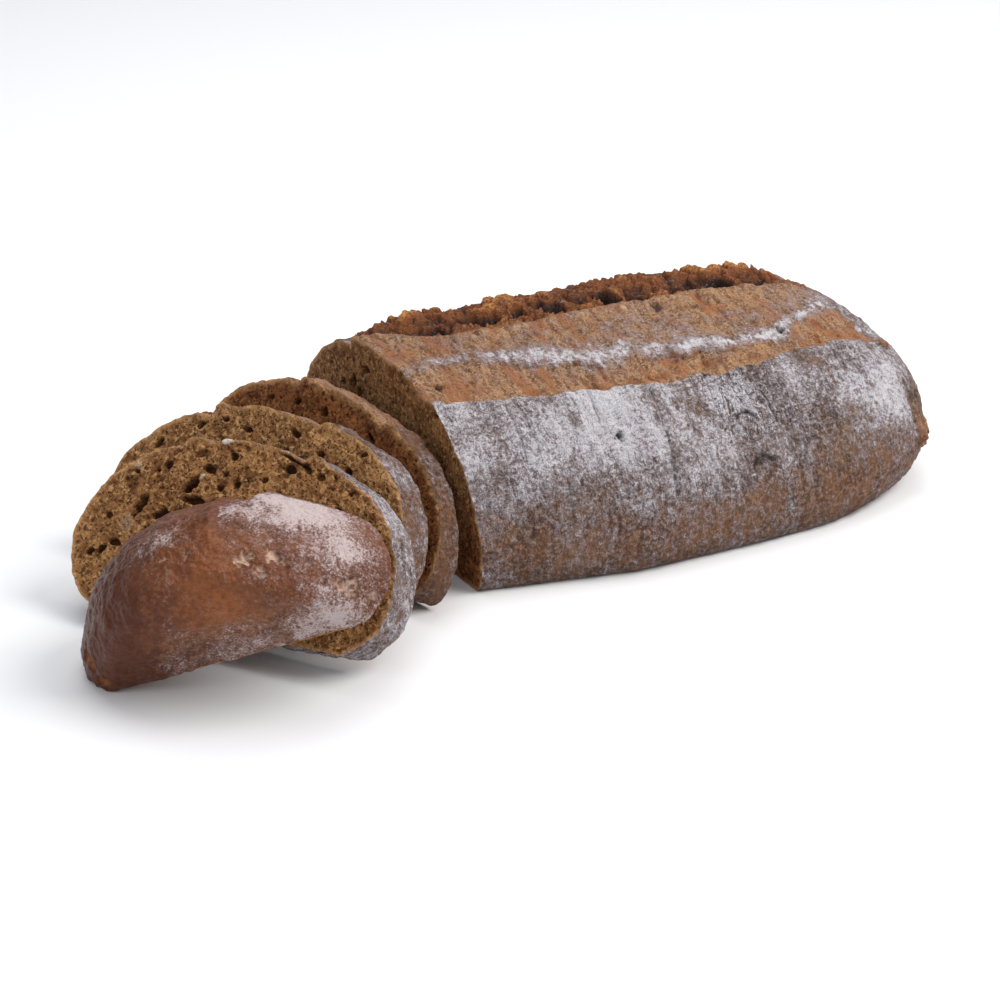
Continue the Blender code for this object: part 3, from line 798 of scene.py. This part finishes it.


# A cut face: lines from the base up to the outline, pitted by bubbles of three sizes cut by the plane, with
# painted shade in the pores and a painted shade mask.
# Depth of a pore = its radius times an ease of how far inside it the point lies
def crumbFace(outline, rows, look):
    columns = len(outline)
    u = np.linspace(0.0, 1.0, columns)
    low = np.stack([outline[0, 0] + (outline[-1, 0] - outline[0, 0]) * u, 0.0 * u], axis=-1)
    low[:, 1] = outline[0, 1] + (outline[-1, 1] - outline[0, 1]) * u
    v = np.linspace(0.0, 1.0, rows)[:, None, None] ** 0.9
    flatGrid = low[None] * (1.0 - v) + outline[None] * v
    points = np.concatenate([0.0 * flatGrid[..., :1], flatGrid], axis=-1)
    rim = np.concatenate([outline, low[::4]])
    nearest = np.array([
        np.sqrt(((row[:, None, :] - rim[None, :, :]) ** 2).sum(axis=-1)).min(axis=1) for row in flatGrid
    ])
    paintedPoreShade, depth = 0.0 * nearest, 0.0 * nearest
    for size, share, small, large, stretch, seed in look["bubbles"]:
        bent = stirred(points, size * 0.8, size * 0.25, look["seed"] + seed) * np.array([1.0, stretch, 1.0])
        first, second, owner = bubbles(bent, size, look["seed"] + seed + 3)
        radius = small + (large - small) * np.clip((owner - 1.0 + share) / share, 0.0, 1.0) ** 2
        inside = np.where(owner > 1.0 - share, ease((radius - first) / (radius * 0.45)), 0.0)
        depth = np.maximum(depth, inside * radius * 1.7)
        paintedPoreShade = np.maximum(paintedPoreShade, inside * np.clip(radius / 0.0012, 0.35, 1.0))
    for *ellipse, deep in look["large"]:
        away = ellipseAway(flatGrid, *ellipse) + 0.30 * grain(points, 0.0018, 2, look["seed"] + 9)
        inside = ease((1.15 - away) / 0.35)
        depth, paintedPoreShade = np.maximum(depth, deep * inside), np.maximum(paintedPoreShade, inside * min(deep / 0.0022, 1.0))
    keep = ease((nearest - 0.0004) / 0.0012)
    rough = 0.00030 * grain(points, 0.0014, 3, look["seed"] + 5)
    rough = rough + 0.00030 * grain(points, 0.006, 2, look["seed"] + 6)
    depth = keep * depth + ease(nearest / 0.0008) * rough
    oat, edge = 0.0 * nearest, bell(nearest, look["edgeWidth"] * (1.0 + 0.3 * grain(points, 0.004, 2, 7)))
    for *ellipse, share in look["oats"]:
        away = ellipseAway(flatGrid, *ellipse) + 0.12 * grain(points, 0.0012, 2, look["seed"] + 8)
        oat = np.maximum(oat, share * ease((1.1 - away) / 0.3))
        depth = np.where(away < 1.0, depth * (1.0 - share), depth)
        depth = depth - 0.0008 * share * np.sqrt(np.clip(1.0 - away, 0.0, 1.0))
    # painted shade: a set amount for each face, more towards the bottom
    paintedCrumbShade = look["paintedCrumbShade"] + look["paintedShadeTowardsBottom"] * ease((0.036 - flatGrid[..., 1]) / 0.028)
    return points, depth, {"paintedPoreShade": paintedPoreShade * keep * (1.0 - oat), "edge": 0.8 * edge, "oat": oat, "paintedCrumbShade": paintedCrumbShade}


loafFaceLook = {
    # Painted shade on the loaf's cut face, more at its bottom where the slices shade it
    "seed": 300, "edgeWidth": 0.0011, "paintedCrumbShade": 0.20, "paintedShadeTowardsBottom": 0.7,
    "bubbles": (
        (0.0080, 0.42, 0.0006, 0.0019, 0.75, 0), (0.0042, 0.55, 0.0004, 0.0012, 0.85, 20),
        (0.0019, 0.65, 0.0002, 0.00055, 0.9, 40),
    ),
    # Place across and up, half length, half width, turn in degrees and depth
    "large": (
        (0.0165, 0.0500, 0.0036, 0.0012, 170.0, 0.0035), (0.0254, 0.0427, 0.0030, 0.0017, 120.0, 0.0035),
        (0.0336, 0.0392, 0.0024, 0.0012, 150.0, 0.0030), (0.0210, 0.0395, 0.0022, 0.0016, 95.0, 0.0030),
        (0.0420, 0.0440, 0.0016, 0.0010, 30.0, 0.0020), (-0.0030, 0.0380, 0.0014, 0.0010, 60.0, 0.0020),
        (-0.0175, 0.0290, 0.0016, 0.0012, 100.0, 0.0022), (-0.0400, 0.0270, 0.0014, 0.0011, 70.0, 0.0020),
        (0.0060, 0.0290, 0.0018, 0.0012, 40.0, 0.0022), (0.0450, 0.0250, 0.0020, 0.0012, 120.0, 0.0025),
    ),
    "oats": (),
}
rim = np.concatenate([grid[0, (0 if i == 0 else 1):] for i, (name, grid, masks) in enumerate(loafParts)])
points, depth, masks = crumbFace(rim[:, 1:], 150, loafFaceLook)
points[..., 0] += depth + math.tan(loaf["slant"]) * points[..., 1]
standing(sheet("loafCutFace", points + frameShift, masks, crumb), "loaf")
print("stage: loaf built")


# Rolls, leans and turns a cut piece about the middle of its face's base, and rests it on the ground
def laid(grid, place):
    roll, lean, turn = (math.radians(v) for v in place["turns"])
    aboutX = np.array([[1, 0, 0], [0, math.cos(roll), -math.sin(roll)], [0, math.sin(roll), math.cos(roll)]])
    aboutY = np.array([[math.cos(lean), 0, math.sin(lean)], [0, 1, 0], [-math.sin(lean), 0, math.cos(lean)]])
    aboutZ = np.array([[math.cos(turn), -math.sin(turn), 0], [math.sin(turn), math.cos(turn), 0], [0, 0, 1]])
    moved = grid @ (aboutZ @ aboutY @ aboutX).T
    if "lift" not in place:
        place["lift"] = -moved[..., 2].min()
    moved = moved + np.array([place["ground"][0], place["ground"][1], place["lift"]]) + frameShift
    moved[..., 2] = np.maximum(moved[..., 2], 0.0)
    return moved


# Closed rings of a cut piece's section, one a station: up and over its dome, then back along its base.
# The relief pushes each point along the normal of the plain surface
def cutRings(sectionX, localX, heightShare, domeCount, baseCount, detail, seed):
    size = len(sectionX)
    x, y, z, angle = sectionGrid(sectionX, np.zeros(size), np.ones(size), domeCount)
    dome = raised(x, y, z, mainRelief(x, y, z, angle), heightShare)
    across = np.linspace(0.0, 1.0, baseCount + 2)[None, 1:-1, None]
    flat = dome[:, -1:, :] * (1.0 - across) + dome[:, :1, :] * across
    ring = np.concatenate([dome, flat], axis=1)
    ring[..., 0] = np.asarray(localX)[:, None]
    sectionY = np.concatenate([y, flat[..., 1]], axis=1)
    sectionAngle = np.concatenate([angle, 0.0 * flat[..., 1]], axis=1)
    onDome = np.concatenate([0.0 * angle + 1.0, 0.0 * flat[..., 1]], axis=1)
    along = np.gradient(ring, axis=0)
    around = np.roll(ring, -1, axis=1) - np.roll(ring, 1, axis=1)
    normal = np.cross(around, along)
    normal /= np.linalg.norm(normal, axis=-1, keepdims=True) + 1e-12
    sections = np.repeat(np.asarray(sectionX)[:, None], ring.shape[1], axis=1)
    out, masks = detail(sections, sectionY, sectionAngle, onDome, ring)
    ring = ring + normal * (out + roughness(ring, seed))[..., None]
    ring[..., 0] = np.where(np.abs(localX)[:, None] < 1e-9, 0.0, ring[..., 0])
    return ring, masks


# Crust round a slice: floury side, opened bands and the narrow torn score
def sliceRimDetail(x, y, angle, onDome, points, haze):
    step, lip, back = stepLine(x), gashLip(x), gashBack(x)
    onTop = onDome * ease((points[..., 2] - 0.03) / 0.01)
    onBand = onTop * ease((y - step) / 0.0015) * ease((lip - y) / 0.001)
    inTear = onTop * ease((y - lip) / 0.001) * ease((back + 0.001 - y) / 0.002)
    onSide = 1.0 - np.clip(onBand + inTear, 0.0, 1.0)
    out = onSide * 0.00025 * grain(points * np.array([1.0, 0.25, 0.25]), 0.0022, 2, 101)
    out += inTear * 0.0010 * grain(points, 0.0030, 3, 102)
    flour = onSide * (haze + 0.16 * grain(points, 0.016, 2, 103)) + 0.5 * haze * onBand - 0.1 * inTear
    warm = 0.4 * onBand + onSide * np.clip(0.6 - haze, 0.0, 0.6)
    return out, {
        "flour": flour, "bare": onBand, "warm": warm, "torn": inTear, "lift": 0.0 * x + 0.55,
        "crackle": 0.4 * onSide,
        # painted shade: under the slice, and on its side more where it has less flour haze
        "paintedShadeAndMottle": 0.3 * (1.0 - onDome) + onSide * np.clip(0.55 - 1.6 * haze, 0.0, 0.55),
    }


sliceFlare = 0.4
sliceBubbles = (
    (0.0085, 0.42, 0.0007, 0.0020, 0.75, 0), (0.0044, 0.55, 0.0004, 0.0013, 0.85, 20),
    (0.0020, 0.65, 0.0002, 0.00060, 0.9, 40),
)
# Large pores: place across and up, half length, half width, turn in degrees and depth
frontPores = (
    (0.0374, 0.0357, 0.0044, 0.0015, 111.0, 0.0050), (0.0214, 0.0442, 0.0039, 0.0018, 135.0, 0.0050),
    (0.0190, 0.0396, 0.0035, 0.0013, 174.0, 0.0045), (0.0296, 0.0334, 0.0028, 0.0014, 150.0, 0.0035),
    (0.0272, 0.0330, 0.0015, 0.0012, 120.0, 0.0035), (0.0427, 0.0419, 0.0024, 0.0020, 100.0, 0.0010),
    (0.0310, 0.0497, 0.0015, 0.0013, 0.0, 0.0024), (0.0200, 0.0553, 0.0028, 0.0013, 165.0, 0.0013),
    (0.0082, 0.0558, 0.0015, 0.0014, 0.0, 0.0025), (0.0514, 0.0172, 0.0014, 0.0013, 90.0, 0.0025),
    (0.0474, 0.0188, 0.0021, 0.0010, 130.0, 0.0028), (0.0433, 0.0215, 0.0012, 0.0022, 90.0, 0.0024),
    (0.0103, 0.0450, 0.0012, 0.0011, 0.0, 0.0022), (0.0047, 0.0469, 0.0012, 0.0011, 0.0, 0.0022),
    (-0.0124, 0.0586, 0.0036, 0.0010, 17.0, 0.0040), (-0.0178, 0.0565, 0.0034, 0.0009, 39.0, 0.0036),
    (-0.0129, 0.0550, 0.0020, 0.0015, 10.0, 0.0042), (-0.0239, 0.0537, 0.0016, 0.0012, 0.0, 0.0016),
    (0.0480, 0.0300, 0.0012, 0.0010, 40.0, 0.0018), (0.0330, 0.0270, 0.0014, 0.0011, 80.0, 0.0020),
    (0.0110, 0.0400, 0.0011, 0.0010, 20.0, 0.0018), (-0.0050, 0.0500, 0.0012, 0.0009, 150.0, 0.0018),
    (-0.0330, 0.0440, 0.0013, 0.0010, 60.0, 0.0018), (-0.0470, 0.0330, 0.0014, 0.0010, 100.0, 0.0020),
    (-0.0590, 0.0210, 0.0018, 0.0010, 110.0, 0.0024), (-0.0620, 0.0150, 0.0015, 0.0012, 80.0, 0.0024),
)
middlePores = (
    (0.0300, 0.0488, 0.0020, 0.0012, 150.0, 0.0030), (0.0113, 0.0502, 0.0018, 0.0011, 10.0, 0.0028),
    (-0.0090, 0.0512, 0.0022, 0.0012, 20.0, 0.0030), (-0.0205, 0.0458, 0.0018, 0.0013, 60.0, 0.0030),
    (0.0454, 0.0400, 0.0020, 0.0012, 120.0, 0.0030), (-0.0330, 0.0420, 0.0020, 0.0011, 40.0, 0.0028),
    (0.0210, 0.0520, 0.0012, 0.0009, 0.0, 0.0020), (-0.0470, 0.0340, 0.0016, 0.0010, 70.0, 0.0022),
)
backPores = (
    (0.0240, 0.0415, 0.0018, 0.0012, 150.0, 0.0026), (0.0090, 0.0425, 0.0024, 0.0014, 20.0, 0.0030),
    (-0.0170, 0.0420, 0.0022, 0.0012, 40.0, 0.0028), (-0.0250, 0.0395, 0.0018, 0.0011, 50.0, 0.0026),
    (-0.0400, 0.0350, 0.0018, 0.0012, 60.0, 0.0026), (0.0380, 0.0385, 0.0016, 0.0011, 140.0, 0.0024),
)
# The faces' painted shade: some on the front slice, none on the middle one, full on the back one
slices = (
    {
        "name": "sliceFront", "node": "slice_front", "rows": 190, "columns": 480,
        "cut": -0.0340, "heightShare": 1.045, "thick": 0.0120, "haze": 0.46,
        "ground": (-0.0920, -0.0664), "turns": (-2.5, 36.0, 35.6),
        "face": {
            "seed": 400, "edgeWidth": 0.0010, "bubbles": sliceBubbles, "paintedCrumbShade": 0.20, "paintedShadeTowardsBottom": 0.0,
            "large": frontPores,
            # Place across and up, half length, half width, turn in degrees and amount
            "oats": (
                (0.0118, 0.0606, 0.0022, 0.0012, 160.0, 1.0), (0.0176, 0.0478, 0.0014, 0.0004, 125.0, 0.7),
                (0.0408, 0.0288, 0.0030, 0.0026, 90.0, 0.10), (0.0420, 0.0480, 0.0016, 0.0012, 60.0, 0.20),
            ),
        },
    },
    {
        "name": "sliceMiddle", "node": "slice_middle", "rows": 150, "columns": 420,
        "cut": -0.0270, "heightShare": 0.98, "thick": 0.0120, "haze": 0.24,
        "ground": (-0.0745, -0.0412), "turns": (-5.8, 33.5, 26.0),
        "face": {
            "seed": 500, "edgeWidth": 0.0011, "bubbles": sliceBubbles, "paintedCrumbShade": 0.0, "paintedShadeTowardsBottom": 0.0,
            "large": middlePores, "oats": (),
        },
    },
    {
        "name": "sliceBack", "node": "slice_back", "rows": 150, "columns": 420,
        "cut": -0.0081, "heightShare": 0.852, "thick": 0.0090, "haze": 0.12,
        "ground": (-0.0385, -0.0107), "turns": (1.1, 25.4, 13.0),
        "face": {
            "seed": 600, "edgeWidth": 0.0016, "bubbles": sliceBubbles, "paintedCrumbShade": 1.0, "paintedShadeTowardsBottom": 0.0,
            "large": backPores, "oats": (),
        },
    },
)

rearRows = 80
for place in slices:
    name, node, face, columns = place["name"], place["node"], place["face"], place["columns"]
    depths = np.linspace(0.0, place["thick"], 26)
    ring, masks = cutRings(
        place["cut"] + sliceFlare * depths, depths, place["heightShare"], columns, 60,
        functools.partial(sliceRimDetail, haze=place["haze"]), face["seed"],
    )
    standing(sheet(name + "Rim", laid(ring, place), masks, loafCrust, wrap=True), node)
    front, frontDepth, masks = crumbFace(ring[0, :columns, 1:], place["rows"], face)
    front[..., 0] += frontDepth
    standing(sheet(name + "Face", laid(front, place), masks, crumb), node)
    rearLook = dict(face, seed=face["seed"] + 50, large=(), oats=())
    rear, rearDepth, masks = crumbFace(ring[-1, :columns, 1:], rearRows, rearLook)
    rear[..., 0] += place["thick"] - rearDepth
    standing(sheet(name + "Rear", laid(rear, place), masks, crumb, flip=True), node)
print("stage: slices built")

# Heel: the loaf's other end, glossy and red-brown in the middle, with flour on its two lobes and its base
heel = {"cut": -0.0480, "heightShare": 0.93, "ground": (-0.0970, -0.0974), "turns": (-33.2, 51.9, 29.9)}

# Places on the heel in its own coordinates, x from its cut face to its tip, then radius and amount
heelMarks = {
    "thick": (
        (-0.0318, -0.0141, 0.0303, 0.0075, 0.45), (-0.0256, -0.0245, 0.0345, 0.0110, 0.55),
        (-0.0188, -0.0318, 0.0365, 0.0110, 0.55), (-0.0138, -0.0393, 0.0320, 0.0110, 0.45),
        (-0.0140, -0.0425, 0.0230, 0.0090, 0.30), (-0.0147, -0.0435, 0.0170, 0.0050, 0.30),
        (-0.0085, -0.0351, 0.0010, 0.0055, 0.50), (-0.0059, 0.0176, 0.0000, 0.0060, 0.45),
        (-0.0040, -0.0110, 0.0000, 0.0070, 0.32), (-0.0030, 0.0030, 0.0000, 0.0060, 0.30),
        (-0.0040, -0.0250, 0.0000, 0.0060, 0.32), (-0.0340, 0.0130, 0.0270, 0.0075, 0.45),
        (-0.0355, 0.0040, 0.0262, 0.0060, 0.40), (-0.0290, 0.0240, 0.0240, 0.0080, 0.35),
        (-0.0335, -0.0060, 0.0330, 0.0050, 0.20), (-0.0120, -0.0380, 0.0020, 0.0040, 0.30),
        (-0.0200, 0.0090, 0.0010, 0.0060, 0.20), (-0.0100, -0.0450, 0.0150, 0.0060, 0.20),
    ),
    # Scars are torn flakes of crust: pale and rough
    "scars": (
        (-0.0335, -0.0177, 0.0115, 0.0026, 0.9), (-0.0322, -0.0198, 0.0120, 0.0018, 0.9),
        (-0.0297, -0.0255, 0.0128, 0.0026, 0.8), (-0.0285, -0.0278, 0.0112, 0.0020, 0.7),
        (-0.0307, -0.0222, 0.0072, 0.0021, 0.8), (-0.0230, -0.0346, 0.0111, 0.0013, 0.6),
        (-0.0108, -0.0433, 0.0066, 0.0030, 1.0), (-0.0135, -0.0414, 0.0058, 0.0024, 1.0),
        (-0.0037, -0.0476, 0.0066, 0.0018, 0.7), (-0.0352, -0.0010, 0.0165, 0.0024, 0.8),
        (-0.0350, 0.0060, 0.0170, 0.0020, 0.8),
    ),
    "nubs": (
        (-0.0097, 0.0456, 0.0120, 0.0030, 0.0030), (-0.0085, 0.0446, 0.0068, 0.0030, 0.0034),
        (-0.0043, 0.0424, 0.0020, 0.0024, 0.0024), (-0.0060, 0.0455, 0.0100, 0.0020, 0.0018),
    ),
    # Glow: warmer patches where the painted shade is lifted, partly the crust's own golden colour and partly
    # a painted pool of light
    "glow": (
        (-0.0300, -0.0060, 0.0040, 0.0120, 0.65), (-0.0360, -0.0075, 0.0220, 0.0050, 0.35),
        (-0.0200, -0.0060, 0.0, 0.0090, 0.4),
    ),
    "pricks": (
        (-0.0352, -0.0095, 0.0185, 0.0008), (-0.0230, -0.0370, 0.0075, 0.0011),
        (-0.0270, -0.0300, 0.0095, 0.0012), (-0.0095, -0.0445, 0.0095, 0.0010),
        (-0.0180, -0.0380, 0.0060, 0.0010),
    ),
}


def heelDetail(x, y, angle, onDome, points):
    px, py, pz = points[..., 0], points[..., 1], points[..., 2]
    out = 0.00022 * grain(points, 0.0045, 2, 201) + 0.00012 * grain(points, 0.0012, 2, 204)
    onBase, nearCut = ease((0.006 - pz) / 0.006), ease((px + 0.026) / 0.016)
    flour = -0.18 + 0.20 * grain(points, 0.006, 3, 202) - 0.36 * ease((py - 0.006) / 0.02)
    flour += 0.30 * onBase * nearCut + 0.34 * ease((-0.014 - py) / 0.022)
    # Painted shade: darker towards the heel's left end and on its base near the cut, with random darker
    # mottle
    paintedShadeAndMottle = 0.85 * ease((py - 0.006) / 0.024)
    paintedShadeAndMottle += onBase * ease((px + 0.020) / 0.014) * (0.35 + 0.60 * grain(points, 0.0022, 2, 216))
    paintedShadeAndMottle = paintedShadeAndMottle + 0.35 * ease(0.2 + 1.3 * grain(points, 0.0048, 3, 215))
    warm, pale, paintedHollowShade, bare = 0.15 + 0.0 * x, 0.0 * x, 0.0 * x, 0.5 * onBase * nearCut
    for *centre, radius, amount in heelMarks["thick"]:
        flour += amount * bell(awayFrom(points, centre) + patchBend(points, radius, 205), radius)
    # each glow warms the colour and takes back painted shade
    for *centre, radius, amount in heelMarks["glow"]:
        away = awayFrom(points, centre)
        warm = warm + amount * bell(away, radius)
        paintedShadeAndMottle = paintedShadeAndMottle * (1.0 - 0.7 * bell(away, radius))
    for *centre, radius, amount in heelMarks["scars"]:
        away = awayFrom(points, centre) + 0.5 * radius * grain(points, radius * 0.5, 2, 206)
        inside = ease((radius - away) / (radius * 0.4))
        torn = 0.5 + 0.5 * ridges(points * np.array([1.0, 0.5, 1.2]), 0.0017, 2, 207)
        out += inside * 0.0014 * (torn - 0.3)
        pale = np.maximum(pale, amount * inside * ease((torn - 0.52) / 0.24))
        # painted shadow below each flake
        paintedHollowShade = np.maximum(paintedHollowShade, 0.45 * bell(away - radius * 1.05, radius * 0.16) * (py < centre[1]))
    for *centre, radius in heelMarks["pricks"]:
        away = awayFrom(points, centre, (1.0, 1.0, 0.6))
        inside = ease((radius - away - 0.3 * radius * grain(points, 0.001, 2, 208)) / (radius * 0.6))
        out -= 0.0008 * inside
        # painted shade in each prick
        paintedHollowShade = np.maximum(paintedHollowShade, 0.6 * inside)
    for *centre, radius, rise in heelMarks["nubs"]:
        nub = ease((radius * 1.4 - awayFrom(points, centre)) / radius)
        nub = nub * (1.0 + 0.45 * grain(points, 0.0016, 3, 209))
        out += rise * nub
        share = ease(nub / 0.5)
        warm, paintedShadeAndMottle, flour = np.maximum(warm, share), paintedShadeAndMottle * (1.0 - share), flour - 0.3 * share
        bare = np.maximum(bare, 0.5 * share * ease(0.5 + grain(points, 0.0018, 2, 210)))
    # A crease between the two lobes
    crease = bell(py + 0.0078 + 0.0010 * grain(points, 0.006, 2, 211), 0.0026) * ease((pz - 0.012) / 0.010)
    out -= 0.0009 * crease
    return out, {
        "flour": flour - 0.5 * crease, "warm": np.clip(warm, 0.0, 1.0), "paintedShadeAndMottle": np.clip(paintedShadeAndMottle, 0.0, 0.9),
        "bare": bare, "pale": np.clip(pale, 0.0, 1.0), "paintedHollowShade": paintedHollowShade, "crackle": 0.25 * nearCut,
    }


w = np.linspace(0.0, 0.9990 * math.pi / 2.0, 190)
heelX = (heel["cut"] + (loaf["tipLeft"] - heel["cut"]) * np.sin(w) ** (2.0 / 3.0))[::-1]
heelDomes = 420
ring, masks = cutRings(heelX, heelX - heel["cut"], heel["heightShare"], heelDomes, 90, heelDetail, 250)
tipPoint = ring[0].mean(axis=0)
ring = np.concatenate([np.broadcast_to(tipPoint, (1,) + ring.shape[1:]), ring])
masks = {key: np.concatenate([values[:1], values]) for key, values in masks.items()}
standing(sheet("heelCrust", laid(ring, heel), masks, heelCrust, wrap=True), "heel")
heelFaceLook = dict(slices[0]["face"], seed=700, edgeWidth=0.0012, large=(), oats=())
cutFace, cutDepth, cutMasks = crumbFace(ring[-1, :heelDomes, 1:], rearRows, heelFaceLook)
cutFace[..., 0] -= cutDepth
standing(sheet("heelFace", laid(cutFace, heel), cutMasks, crumb, flip=True), "heel")
print("stage: heel built")

# Floor, soft light and the camera at the photo's angle
floorMaterial, floorShader = newMaterial("paleFloor")
floorShader.inputs["Base Color"].default_value = srgb(236, 236, 238)
floorShader.inputs["Roughness"].default_value = 0.9
floorMesh = bpy.data.meshes.new("floor")
reach, drop = 6.0, 0.0002
corners = [(across * reach, along * reach, -drop) for across, along in ((-1, -1), (1, -1), (1, 1), (-1, 1))]
floorMesh.from_pydata(corners, [], [(0, 1, 2, 3)])
floorMesh.materials.append(floorMaterial)
floor = bpy.data.objects.new("floor", floorMesh)
bpy.context.scene.collection.objects.link(floor)

world = bpy.data.worlds.new("softWorld")
bpy.context.scene.world = world
world.use_nodes = True
world.node_tree.nodes["Background"].inputs["Color"].default_value = (0.93, 0.96, 1.0, 1.0)
world.node_tree.nodes["Background"].inputs["Strength"].default_value = 0.40

lamps = (
    {"name": "window", "place": (0.70, -0.55, 0.95), "size": 0.9, "power": 15.0, "tint": (1.0, 0.98, 0.95)},
    {"name": "overhead", "place": (0.10, 0.35, 1.10), "size": 1.1, "power": 7.5, "tint": (0.97, 0.98, 1.0)},
    {"name": "fill", "place": (-0.80, -0.60, 0.60), "size": 0.8, "power": 2.2, "tint": (1.0, 1.0, 1.0)},
)
for lamp in lamps:
    light = bpy.data.lights.new(lamp["name"], "AREA")
    light.shape, light.size, light.energy, light.color = "DISK", lamp["size"], lamp["power"], lamp["tint"]
    holder = bpy.data.objects.new(lamp["name"], light)
    holder.location = lamp["place"]
    away = -np.array(lamp["place"])
    away = away / np.linalg.norm(away)
    holder.rotation_euler = (
        math.acos(-away[2]), 0.0, math.atan2(away[1], away[0]) - math.pi / 2.0,
    )
    bpy.context.scene.collection.objects.link(holder)

bpy.context.scene.view_settings.view_transform = "Standard"
cameraData = bpy.data.cameras.new("camera")
cameraData.sensor_width, cameraData.lens = 36.0, 104.7
camera = bpy.data.objects.new("camera", cameraData)
camera.location = (-0.3834 + frameShift[0], -0.8355 + frameShift[1], 0.435)
camera.rotation_euler = (math.radians(65.0), 0.0, math.radians(-27.09))
bpy.context.scene.collection.objects.link(camera)
bpy.context.scene.camera = camera

print("stage: finishing")
